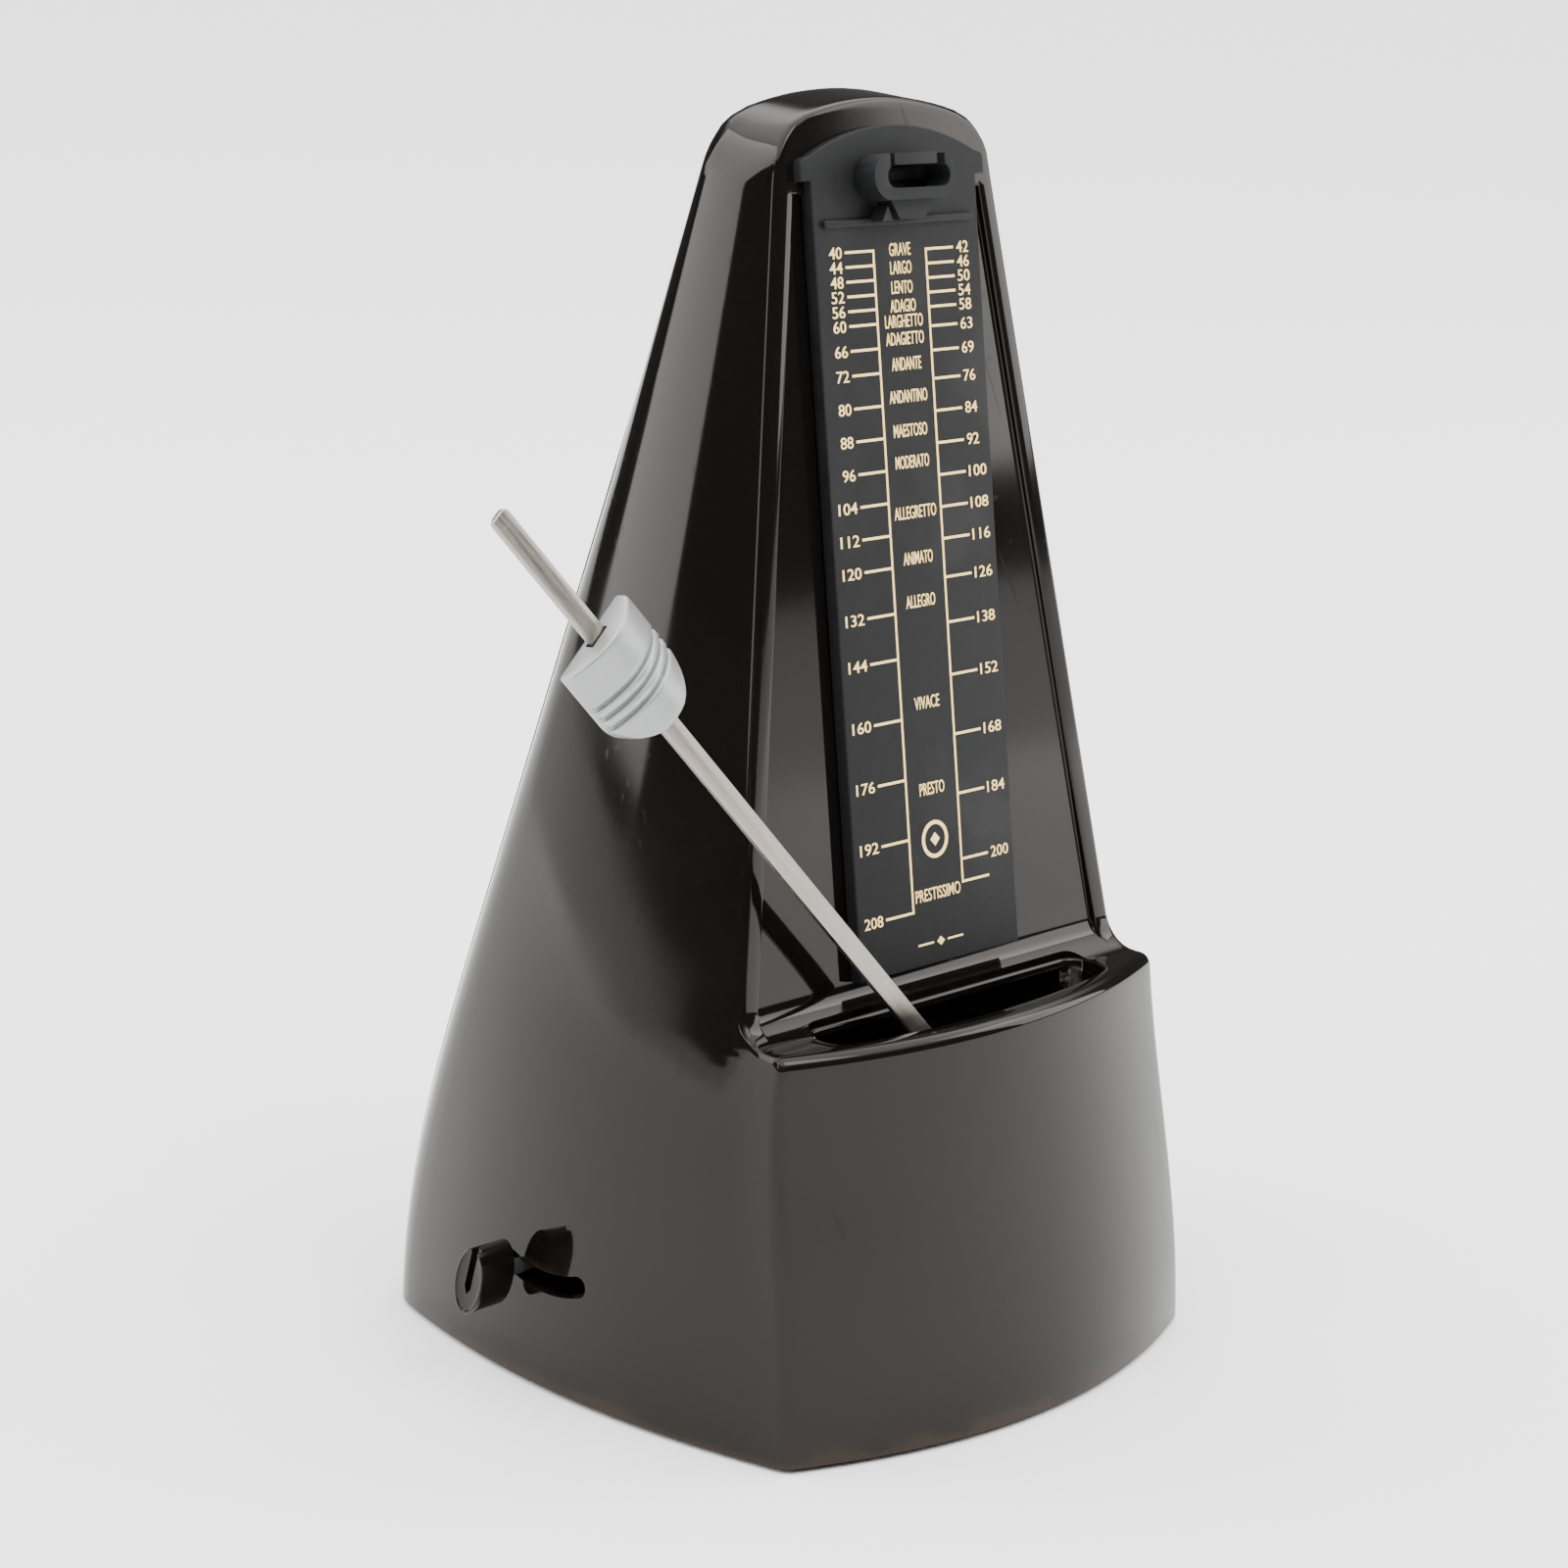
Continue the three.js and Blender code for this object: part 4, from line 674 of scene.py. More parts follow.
# ---------------------------------------------------------------- case
@dataclass(frozen=True)
class CaseForm:
    """Sizes of the case, in millimetres, and the surfaces that follow from them. Inset draws them all inwards."""

    inset: float = 0.0
    height: float = 210.0
    stand: float = 1.0
    shoulder: float = 66.0
    shelf: float = 65.6
    base_half: float = 48.7
    shoulder_half: float = 44.9
    top_half: float = 22.8
    base_front: float = 48.2
    shelf_front: float = 40.6
    base_rear: float = 48.4
    shoulder_rear: float = 35.8
    top_rear: float = 2.3
    bow_base: float = 12.0
    bow_shelf: float = 9.0
    side_bow_base: float = 7.5
    side_bow_top: float = 0.8
    rim_face: float = 6.6
    roof_radius: float = 67.0
    roof_shoulder: float = 0.7
    roof_drop: float = 0.0066
    roof_rise: float = 0.08
    rear_round: float = 6.0
    cove: float = 6.0
    lip: float = 2.0
    roof_lip: float = 1.1
    rim_width: float = 3.7
    panel_high: float = 146.8
    panel_depth: float = 1.0
    edge_cut: float = 1.1

    def taper(self, z: float, base: float, shoulder: float, top: float) -> float:
        """Upright at the base, then bending into a straight flank from the shoulder up."""
        rate = (top - shoulder) / (self.height - self.shoulder)
        t = z / self.shoulder
        if t >= 1:
            return shoulder + rate * (z - self.shoulder)
        return lerp(base, shoulder, t * t * (3 - 2 * t)) + rate * self.shoulder * t * t * (t - 1)

    def half(self, z: float) -> float:
        """Half the width at the front and rear edges, at height z."""
        return self.taper(z, self.base_half, self.shoulder_half, self.top_half) - self.inset

    def rear(self, z: float) -> float:
        """Depth of the rear corners at height z."""
        return self.taper(z, self.base_rear, self.shoulder_rear, self.top_rear) - self.inset

    def rim_y(self, z: float) -> float:
        """Depth of the rim's inclined plane at height z."""
        face = (self.rim_face + self.inset) / math.cos(TILT)
        return PIVOT.y + face + (z - PIVOT.z) * math.tan(TILT)

    def flank(self, z: float) -> float:
        """Depth at which the side starts to bulge, with its bend at the shoulder eased."""
        outer = self.rim_y(z) - self.inset / math.cos(TILT)
        join = self.rim_y(self.shoulder) - self.inset / math.cos(TILT)
        lower = lerp(-self.base_front, join, z / self.shoulder)
        return (outer + lower) / 2 - math.hypot(outer - lower, 0.8) / 2

    def bow(self, z: float) -> float:
        """How far the sides and the rear bulge at height z."""
        return lerp(self.side_bow_base, self.side_bow_top, z / self.height)

    def side(self, y: float, z: float) -> float:
        """Half width at a point of the side."""
        start = self.flank(z)
        t = (y - start) / (self.rear(z) - start)
        t = min(1.0, (t + math.hypot(t, 0.02)) / 2)
        return self.half(z) + 4 * self.bow(z) * t * (1 - t)

    def front_y(self, z: float, u: float) -> float:
        """Depth of the bowed lower front, u of the way from the middle to an edge."""
        bow = lerp(self.bow_base, self.bow_shelf, z / self.shoulder)
        edge = -self.taper(z, self.base_front, self.shelf_front, self.shelf_front) + self.inset
        return edge - bow * (1 - u * u)

    def rear_y(self, z: float, u: float) -> float:
        """Depth of the bowed rear wall, u of the way from the middle to an edge."""
        return self.rear(z) + self.bow(z) * (1 - u * u)

    def roof_z(self, x: float, y: float) -> float:
        """Height of the arched roof."""
        front = self.rim_y(self.height) - self.inset / math.cos(TILT)
        crown = self.height - self.inset - self.roof_rise * (self.top_rear - front)
        turn = max(0.0, abs(x) - self.top_half * self.roof_shoulder)
        arch = crown - self.roof_radius + math.sqrt(self.roof_radius ** 2 - x * x) - self.roof_drop * turn ** 3
        return arch + self.roof_rise * (y - front)

    def brow_z(self, x: float) -> float:
        """Height at which the rim's plane meets the roof."""
        z = self.height
        for _ in range(8):
            z = self.roof_z(x, self.rim_y(z))
        return z

    def heel_half(self) -> float:
        """Half the width where the roof meets the rear wall."""
        x = self.top_half
        for _ in range(12):
            x = self.side(*self.heel(x, 1.0))
        return x

    def heel(self, x: float, u: float) -> Point:
        """Where the roof would meet the rear wall with no rounding, as (y, z)."""
        z = self.height
        for _ in range(8):
            z = self.roof_z(x, self.rear_y(z, u))
        return self.rear_y(z, u), z


@dataclass(frozen=True)
class Row:
    """One row across the skin: its surface, how far the corner beside it is cut, and where it is along its stretch."""

    at: Callable[[float, float], Point]
    corner: float
    recess: float = 0.0


@dataclass
class CaseSkin:
    """The case's outside, or its inside, as a sheet over front, roof and rear with a grid for each side."""

    form: CaseForm
    fine: int = 2
    corner_steps: int = 6
    recessed: bool = True

    # Steps across the recess's edge: distance inwards from the edge, and share of the depth reached.
    EDGE = ((-0.45, 0.0), (-0.2, 0.04), (-0.03, 0.2), (0.06, 0.5), (0.14, 0.82), (0.3, 0.97), (0.5, 1.0))

    def front_rows(self) -> list[Row]:
        """Rows from the bottom edge over the lip, the shelf and the cove and up the rim to the roof's front edge."""
        f = self.form
        lip = max(0.4, f.lip - f.inset)
        shelf = f.shelf - f.inset
        start = shelf - lip
        rows = []
        steps = 9 * self.fine
        for i in range(steps):
            z = lerp(f.stand, start, i / steps)
            rows.append(Row(lambda x, u, z=z: (f.front_y(z, u), z), lerp(2.0, 1.2, (i / steps) ** 4)))
        steps = 3 * self.fine
        for i in range(steps):
            a = math.radians(90 * i / steps)
            rows.append(Row(
                lambda x, u, a=a: (f.front_y(start, u) + lip * (1 - math.cos(a)), start + lip * math.sin(a)),
                1.2,
            ))
        cove_z = f.shelf + f.cove
        cove_y = CaseForm().rim_y(cove_z) - f.cove / math.cos(TILT)
        steps = 2 * self.fine
        for i in range(steps):
            rows.append(Row(lambda x, u, s=i / steps: (lerp(f.front_y(start, u) + lip, cove_y, s), shelf), 1.2))
        radius = f.cove + f.inset
        steps = 6 * self.fine
        for i in range(steps):
            a = math.radians(lerp(-90, -8, i / steps))
            sunk = min(1.0, max(0.0, (i / steps - 0.3) / 0.55))
            rows.append(Row(
                lambda x, u, a=a: (cove_y + radius * math.cos(a), cove_z + radius * math.sin(a)), f.edge_cut,
                sunk * sunk * (3 - 2 * sunk),
            ))
        return rows + self.rim_rows(cove_z + radius * math.sin(-TILT))

    def rim_rows(self, low: float) -> list[Row]:
        """Rows up the inclined rim and its recess, over the recess's upper edge and on to the roof's arch."""
        f = self.form
        top = PIVOT.z - f.rim_face * math.sin(TILT) + f.panel_high * math.cos(TILT)
        steps = 14 * self.fine
        heights = [(lerp(low, top - 1, i / steps), 1.0) for i in range(steps + 1)]
        heights += [(top - o, d) for o, d in reversed(self.EDGE)]
        rows = [Row(lambda x, u, z=z: (f.rim_y(z), z), f.edge_cut, d) for z, d in heights]
        straight = top + 1.2
        steps = 8 * self.fine
        for i in range(steps):
            def brow(x: float, u: float, s: float = i / steps) -> Point:
                """A height between the straight rows and the arch."""
                z = lerp(straight, f.brow_z(x) - f.roof_lip, s)
                return f.rim_y(z), z
            rows.append(Row(brow, f.edge_cut))
        return rows

    def roof_rows(self) -> list[Row]:
        """Rows over the roof's front edge, back along the roof and round its rear edge."""
        f = self.form
        heel_half = f.heel_half()

        def front_edge(x: float, u: float, s: float) -> Point:
            """The rounded edge between the rim and the roof."""
            z = f.brow_z(x)
            y = f.rim_y(z)
            low = (f.rim_y(z - f.roof_lip), z - f.roof_lip)
            back = y + f.roof_lip
            return bend(low, (y, z), (back, f.roof_z(x, back)), 100)[round(100 * s)]

        def rear_edge(x: float, u: float, s: float) -> Point:
            """The rounded edge between the roof and the rear wall."""
            y, z = f.heel(u * heel_half, u)
            before = y - f.rear_round * 0.8
            after = z - f.rear_round
            return bend((before, f.roof_z(x, before)), (y, z), (f.rear_y(after, u), after), 100)[round(100 * s)]

        def along(x: float, u: float, s: float) -> Point:
            """The roof between its two rounded edges."""
            a = front_edge(x, u, 1.0)[0]
            b = rear_edge(x, u, 0.0)[0]
            y = lerp(a, b, s)
            return y, f.roof_z(x, y)

        rows = []
        for stretch, steps, corner in ((front_edge, 3 * self.fine, (1.1, 1.5)), (along, 3 * self.fine, (1.5, 2.6)),
                                       (rear_edge, 5 * self.fine, (2.6, 4.0))):
            for i in range(steps):
                s = i / steps
                rows.append(Row(lambda x, u, g=stretch, s=s: g(x, u, s), lerp(*corner, s)))
        return rows

    def rear_rows(self, count: int) -> list[Row]:
        """Rows down the rear wall.

        Args:
            count: how many rows, one more than the front's, so that the sides' grids meet both.
        """
        f = self.form
        heel_half = f.heel_half()
        rows = []
        for i in range(count):
            s = i / (count - 1)

            def wall(x: float, u: float, s: float = s) -> Point:
                """A height down the rear wall."""
                top = f.heel(u * heel_half, u)[1] - f.rear_round
                z = lerp(top, f.stand, s)
                return f.rear_y(z, u), z
            rows.append(Row(wall, lerp(4.0, 7.0, min(1.0, s * 4))))
        return rows

    def width_at(self, row: Row) -> float:
        """Half width of the case where a row meets its side."""
        x = self.form.top_half
        for _ in range(24):
            y, z = row.at(x, 1.0)
            x = self.form.side(y, z)
        return x

    def columns(self, width: float, corner: float) -> list[tuple[float, float]]:
        """Places across a row as (x, share of the recess's depth).

        Args:
            width: half the case's width at the row.
            corner: how far from the edge the row stops.
        """
        steps = self.EDGE if self.recessed else ((0.0, 0.0),)
        rim = self.form.rim_width
        right = [(width - corner, 0.0), (width - (corner + rim - 0.45) / 2, 0.0)]
        right += [(width - rim - o, d) for o, d in steps]
        inner = right[-1][0] - 0.5
        middle = 8 * self.fine
        centre = [(lerp(inner, -inner, i / middle), 1.0) for i in range(middle + 1)]
        return [*right, *centre, *((-x, d) for x, d in reversed(right))]

    def row_points(self, row: Row) -> tuple[list[Vector], Vector]:
        """A row's points across the sheet, and the sharp corner point beside them."""
        width = self.width_at(row)
        points = []
        for x, share in self.columns(width, row.corner):
            y, z = row.at(x, x / width)
            depth = min(share, row.recess) * self.form.panel_depth if self.recessed else 0.0
            points.append(Vector((x, y + depth * math.cos(TILT), z - depth * math.sin(TILT))))
        y, z = row.at(width, 1.0)
        return points, Vector((width, y, z))

    def inner_edge(self, rows: list[Row], apexes: list[Vector]) -> list[Point]:
        """Where each row's rounded corner ends on the side, as (y, z)."""
        ends = []
        last = len(rows) - 1
        for i, row in enumerate(rows):
            ahead = apexes[min(i + 1, last)] - apexes[max(i - 1, 0)]
            long = math.hypot(ahead.y, ahead.z)
            y = apexes[i].y + row.corner * ahead.z / long
            z = apexes[i].z - row.corner * ahead.y / long
            ends.append((y, max(z, self.form.stand)))
        return ends

    def corner_points(self, start: Vector, apex: Vector, end: Vector) -> list[Vector]:
        """The points of a rounded corner, both ends included."""
        shares = [i / self.corner_steps for i in range(self.corner_steps + 1)]
        return [(1 - t) ** 2 * start + 2 * t * (1 - t) * apex + t * t * end for t in shares]

    def lay_grid(self, bm: bmesh.types.BMesh, rows: list[list[Vector]]) -> None:
        """Adds a grid of faces whose vertices stand at the given rows of points."""
        tall = len(rows) - 1
        wide = len(rows[0]) - 1
        made = bmesh.ops.create_grid(bm, x_segments=wide, y_segments=tall, size=1.0)["verts"]
        for vert in made:
            i = round((vert.co.y + 1) / 2 * tall)
            j = round((vert.co.x + 1) / 2 * wide)
            vert.co = rows[i][j]

    def side_grid(self, edge: list[Point], front: int) -> list[list[Vector]]:
        """The side's grid, spanned between the front edge, the roof's edge and the rear edge.

        Args:
            edge: the side's border, up the front, over the roof and down the rear, as (y, z).
            front: how many of the points belong to the front, the same number as to the rear.
        """
        left = edge[:front + 1]
        right = edge[-front - 1:][::-1]
        top = edge[front:len(edge) - front]
        across = len(top) - 1
        low_left, low_right = left[0], right[0]
        high_left, high_right = top[0], top[-1]
        grid = []
        for i in range(front + 1):
            v = i / front
            line = []
            for j in range(across + 1):
                u = j / across
                spot = []
                for k in (0, 1):
                    bottom = lerp(low_left[k], low_right[k], u)
                    corners = lerp(lerp(low_left[k], low_right[k], u), lerp(high_left[k], high_right[k], u), v)
                    spot.append(lerp(left[i][k], right[i][k], u) + lerp(bottom, top[j][k], v) - corners)
                line.append(Vector((self.form.side(*spot), *spot)))
            grid.append(line)
        return grid

    def build(self) -> bmesh.types.BMesh:
        """The skin as one open surface, closed everywhere but at its bottom."""
        front_rows = self.front_rows()
        roof_rows = self.roof_rows()
        rear_rows = self.rear_rows(len(front_rows) + 1)
        rows = [*front_rows, *roof_rows, *rear_rows]
        sheets, apexes = zip(*(self.row_points(row) for row in rows))
        edge = self.inner_edge(rows, list(apexes))
        bm = bmesh.new()
        self.lay_grid(bm, list(sheets))
        side = self.side_grid(edge, len(front_rows))
        right = []
        for sheet, apex, (y, z) in zip(sheets, apexes, edge):
            right.append(self.corner_points(sheet[0], apex, Vector((self.form.side(y, z), y, z))))
        for sign in (1, -1):
            flip = Matrix.Diagonal((sign, 1, 1))
            self.lay_grid(bm, [[flip @ p for p in line] for line in right])
            self.lay_grid(bm, [[flip @ p for p in line] for line in side])
        bmesh.ops.remove_doubles(bm, verts=bm.verts, dist=0.01)
        return bm


@dataclass
class Case:
    """The smoky shell with its slots and screw posts."""

    wall: float = 2.2
    slot_half: float = 33.0
    slot_front: float = -45.0
    slot_ends: float = -41.4
    slot_rear: float = -33.4
    slot_round: float = 3.6
    slot_flare: float = 0.45
    selector_slot: float = 3.6
    selector_spare: float = 1.8
    key_hole: float = 3.3
    post_radius: float = 4.0
    post_bore: float = 1.5
    post_x: float = 40.0
    post_y: float = 36.0

    def slot_outline(self, grow: float) -> list[Point]:
        """The rod slot seen from above, grown by a margin."""
        end = self.slot_half + grow
        r = self.slot_round
        rear = self.slot_rear + grow
        side = self.slot_ends - grow
        front = self.slot_front - grow
        right = bend((end - r, rear), (end, rear), (end, rear - r), 6)
        right += bend((end, rear - r), (end, side), (end - r, side - 0.6), 6)[1:]
        bowed = bend((end - r, side - 0.6), (0, 2 * front - side + 0.6), (-end + r, side - 0.6), 24)[1:-1]
        return [*right, *bowed, *((-x, y) for x, y in reversed(right))]

    def slot_cutter(self) -> bmesh.types.BMesh:
        """The rod slot's opening, a little wider at the shelf so that its rim is rounded."""
        shelf = CaseForm().shelf
        levels = ((shelf - 6, 0.0), (shelf - self.slot_flare, 0.0), (shelf - 0.2, 0.1), (shelf - 0.06, 0.25),
                  (shelf + 0.01, self.slot_flare), (shelf + 9, self.slot_flare))
        return loft([(x, y, z) for x, y in self.slot_outline(grow)] for z, grow in levels)

    def selector_cutter(self) -> bmesh.types.BMesh:
        """The curved slot in the left wall that the selector's neck swings in."""
        spare = math.degrees(self.selector_spare / SELECTOR_REACH)
        half = self.selector_slot / 2
        end = -90 + SELECTOR_REST + spare
        start = end - SELECTOR_SWING - 2 * spare
        points = arc(SELECTOR_PIVOT, SELECTOR_REACH + half, start, end, 28)
        tip = arc(SELECTOR_PIVOT, SELECTOR_REACH, end, end, 1)[0]
        points += arc(tip, half, end, end + 180, 8)[1:-1]
        points += arc(SELECTOR_PIVOT, SELECTOR_REACH - half, end, start, 28)
        tail = arc(SELECTOR_PIVOT, SELECTOR_REACH, start, start, 1)[0]
        points += arc(tail, half, start + 180, start + 360, 8)[1:-1]
        bm = slab(points, -70, -48)
        bm.transform(FACING_SIDE)
        return bm

    def key_cutter(self) -> bmesh.types.BMesh:
        """The round hole in the right wall for the winding shaft."""
        bm = slab(arc(KEY_AXLE, self.key_hole, 0, 360, 40)[:-1], 44, 70)
        bm.transform(FACING_SIDE)
        return bm

    def post(self, x: float, y: float) -> bmesh.types.BMesh:
        """A screw post inside a corner, with its blind hole."""
        low, tall, deep = 4.9, 18.0, 15.0
        r, bore = self.post_radius, self.post_bore
        bm = turned([(0, low + deep), (bore, low + deep), (bore, low), (r - 0.4, low), (r, low + 0.4), (r, low + tall),
                     (0, low + tall)], 32)
        bm.transform(Matrix.Translation((x, y, 0)))
        return bm

    def build(self) -> bmesh.types.BMesh:
        """The closed shell, cut for the rod, the selector and the key."""
        bm = CaseSkin(CaseForm()).build()
        absorb(bm, CaseSkin(CaseForm(inset=self.wall), fine=1, corner_steps=3, recessed=False).build())
        rims = [edge for edge in bm.edges if edge.is_boundary]
        bmesh.ops.bridge_loops(bm, edges=rims)
        bmesh.ops.recalc_face_normals(bm, faces=bm.faces)
        bm = carve(bm, [self.slot_cutter(), self.selector_cutter(), self.key_cutter()])
        for x in (-self.post_x, self.post_x):
            for y in (-self.post_y, self.post_y):
                absorb(bm, self.post(x, y))
        return bm

    def dress(self) -> None:
        """Makes the case's piece."""
        finish_piece(self.build(), Piece("smoky_case", "case", "smoky_case", SMOKY, ("case_shell",), crease=34.0))


# ---------------------------------------------------------------- scale
@dataclass
class ScalePlate:
    """The matte plate with its arched head, rib and catch, in the incline's own axes (heights up the incline)."""

    half: float = 19.1
    bottom: float = 21.8
    back: float = 7.3
    head_half: float = 21.2
    head_shoulder: float = 148.8
    head_side: float = 2.4
    head_radius: float = 43.6
    rib_up: float = 142.0
    rib_half: float = 17.3
    catch_half: float = 9.4
    catch_tall: float = 7.3
    catch_out: float = 4.5
    pocket: Point = (-6.4, 8.1)
    pocket_tall: float = 3.6

    def outline(self) -> list[Point]:
        """The plate seen from the front."""
        top = self.head_shoulder + self.head_side
        swing = math.degrees(math.asin((self.head_half - 2) / self.head_radius))
        centre = top + 1.4 - math.sqrt(self.head_radius ** 2 - (self.head_half - 2) ** 2)
        right = [(self.half, self.bottom), (self.half, self.head_shoulder), (self.head_half, self.head_shoulder)]
        right += bend((self.head_half, top), (self.head_half, top + 1.2), (self.head_half - 2, top + 1.4), 5)
        crown = arc((0, centre), self.head_radius, 90 - swing, 90 + swing, 40)[1:-1]
        return [*right, *crown, *((-x, z) for x, z in reversed(right))]

    def plate(self) -> bmesh.types.BMesh:
        """The flat plate with softened front edges."""
        bm = slab(self.outline(), -self.back, -PLATE_FACE)
        rim = [e for e in bm.edges if all(abs(v.co.z + PLATE_FACE) < 1e-4 for v in e.verts)]
        soften(bm, rim, 0.3)
        return bm

    def rib(self) -> bmesh.types.BMesh:
        """The thin rib under the head."""
        bm = block(Vector((-self.rib_half, self.rib_up - 0.6, -PLATE_FACE - 0.3)),
                   Vector((self.rib_half, self.rib_up + 0.6, -PLATE_FACE + 0.8)))
        soften(bm, bm.edges[:], 0.3)
        return bm

    def catch(self) -> bmesh.types.BMesh:
        """The hollow boss that holds the rod's tip, with its notched top wall, its skirt and its pointed tab."""
        face = -PLATE_FACE
        out = face + self.catch_out
        up = self.head_shoulder
        boss = slab(stadium(-self.catch_half, self.catch_half, up, self.catch_tall / 2, 16), face - 0.3, out)
        tools = [slab(stadium(*self.pocket, up, self.pocket_tall / 2, 10), face, out + 1)]
        for low, high in ((-5.6, -4.6), (5.2, 7.0)):
            tools.append(block(Vector((low, up, face)), Vector((high, up + self.catch_tall, out + 1))))
        bm = carve(boss, tools)
        below = up - self.catch_tall / 2
        skirt = slab([(-2.6, below - 3), (3.2, below - 3), (7, below + 1), (-5, below + 1)], face - 0.3, face + 3)
        tab = slab([(-6.6, self.rib_up), (-4.2, self.rib_up), (-5.2, self.rib_up + 2.4)], face - 0.3, face + 3)
        absorb(bm, skirt)
        absorb(bm, tab)
        return bm

    def dress(self) -> None:
        """Makes the plate's and the catch's pieces."""
        place = incline_matrix() @ FACING_FRONT
        bm = self.plate()
        absorb(bm, self.rib())
        finish_piece(bm, Piece("dial_plate", "case", "matte_black", PLATE_BLACK, ("scale_plate",)), place)
        finish_piece(self.catch(), Piece("rod_catch", "case", "matte_black", PLATE_BLACK, bevel=0.28,
                                         bevel_from=38.0, bevel_steps=3), place)


@dataclass(frozen=True)
class TempoWord:
    """A tempo word and the beat beside which it stands."""

    text: str
    beat: float


class Align(Enum):
    """Which edge of a figure stands at its place."""

    LEFT = 0.0
    CENTRE = 0.5
    RIGHT = 1.0


@dataclass
class Scale:
    """The raised gold scale: lines, ticks, beats a minute and tempo words."""

    line: float = 6.1
    line_wide: float = 0.42
    raised: float = 0.12
    tick_end: float = 12.6
    figure_tall: float = 1.85
    figure_wide: float = 1.42
    word_tall: float = 2.05
    word_wide: float = 0.98
    right_lift: float = 0.9

    # Heights up the incline of five beats, between which the scale is even.
    KEY_BEATS = ((40, 137.5), (60, 126.0), (120, 87.2), (192, 43.0), (208, 31.0))

    LEFT_BEATS = (40, 44, 48, 52, 56, 60, 66, 72, 80, 88, 96, 104, 112, 120, 132, 144, 160, 176, 192, 208)
    RIGHT_BEATS = (42, 46, 50, 54, 58, 63, 69, 76, 84, 92, 100, 108, 116, 126, 138, 152, 168, 184, 200)
    LAST_TICK = 205.0
    WORDS = (
        TempoWord("GRAVE", 40), TempoWord("LARGO", 45), TempoWord("LENTO", 50.4), TempoWord("ADAGIO", 55.5),
        TempoWord("LARGHETTO", 59.7), TempoWord("ADAGIETTO", 64.0), TempoWord("ANDANTE", 70.2),
        TempoWord("ANDANTINO", 78.2), TempoWord("MAESTOSO", 86.6), TempoWord("MODERATO", 94.4),
        TempoWord("ALLEGRETTO", 106.9), TempoWord("ANIMATO", 118.3), TempoWord("ALLEGRO", 129.6),
        TempoWord("VIVACE", 156.5), TempoWord("PRESTO", 179.5), TempoWord("PRESTISSIMO", 204.8),
    )

    def up(self, beat: float) -> float:
        """How far up the incline a beat stands."""
        stretches = list(zip(self.KEY_BEATS, self.KEY_BEATS[1:]))
        start, end = next((pair for pair in stretches if beat <= pair[1][0]), stretches[-1])
        return lerp(start[1], end[1], (beat - start[0]) / (end[0] - start[0]))

    def bar(self, left: float, right: float, low: float, high: float) -> bmesh.types.BMesh:
        """A raised line with softened edges."""
        bm = block(Vector((left, low, -PLATE_FACE - 0.1)), Vector((right, high, -PLATE_FACE + self.raised)))
        top = [e for e in bm.edges if all(v.co.z > -PLATE_FACE for v in e.verts)]
        soften(bm, top, 0.05, 1)
        return bm

    def lines(self) -> bmesh.types.BMesh:
        """The two upright lines and their ticks."""
        bm = bmesh.new()
        half = self.line_wide / 2
        for sign, beats, lift in ((-1, self.LEFT_BEATS, 0.0),
                                  (1, (*self.RIGHT_BEATS, self.LAST_TICK), self.right_lift)):
            x = sign * self.line
            low, high = self.up(beats[-1]) + lift, self.up(beats[0]) + lift
            absorb(bm, self.bar(x - half, x + half, low - half, high + half))
            for beat in beats:
                inner, outer = sorted((x + sign * (half - 0.02), sign * self.tick_end))
                z = self.up(beat) + lift
                absorb(bm, self.bar(inner, outer, z - half, z + half))
        return bm

    def lettering(self, text: str, place: Point, size: Point, align: Align) -> bmesh.types.BMesh:
        """Raised figures or capitals, fitted to a width and height.

        Args:
            text: what they say.
            place: their middle height and the x of their aligned edge.
            size: their width and height.
            align: which edge stands at x.

        Returns:
            The raised shapes, in the front view's axes.
        """
        curve = bpy.data.curves.new("lettering", "FONT")
        curve.body = text
        curve.size = 2.6
        curve.offset = 0.005
        curve.extrude = 0.5
        curve.resolution_u = 3
        thing = bpy.data.objects.new("lettering", curve)
        bpy.context.scene.collection.objects.link(thing)
        mesh = bpy.data.meshes.new_from_object(thing.evaluated_get(bpy.context.evaluated_depsgraph_get()))
        bm = bmesh.new()
        bm.from_mesh(mesh)
        bpy.data.objects.remove(thing)
        bmesh.ops.remove_doubles(bm, verts=bm.verts, dist=1e-4)
        xs = [v.co.x for v in bm.verts]
        ys = [v.co.y for v in bm.verts]
        fit_x = size[0] / (max(xs) - min(xs))
        fit_y = size[1] / (max(ys) - min(ys))
        left = place[0] - align.value * size[0]
        for vert in bm.verts:
            vert.co.x = left + (vert.co.x - min(xs)) * fit_x
            vert.co.y = place[1] + (vert.co.y - (min(ys) + max(ys)) / 2) * fit_y
            vert.co.z = -PLATE_FACE + (self.raised if vert.co.z > 0 else -0.1)
        return bm

    def figures(self) -> bmesh.types.BMesh:
        """The beats a minute beside their ticks."""
        bm = bmesh.new()
        gap = 0.75
        for sign, beats, align, lift in ((-1, self.LEFT_BEATS, Align.RIGHT, 0.0),
                                         (1, self.RIGHT_BEATS, Align.LEFT, self.right_lift)):
            for beat in beats:
                text = str(beat)
                size = (self.figure_wide * len(text), self.figure_tall)
                place = (sign * (self.tick_end + gap), self.up(beat) + lift)
                absorb(bm, self.lettering(text, place, size, align))
        return bm

    def words(self) -> bmesh.types.BMesh:
        """The tempo words between the lines."""
        bm = bmesh.new()
        for word in self.WORDS:
            size = (min(self.word_wide * len(word.text), 2 * self.line - 1.4), self.word_tall)
            absorb(bm, self.lettering(word.text, (0.0, self.up(word.beat)), size, Align.CENTRE))
        return bm

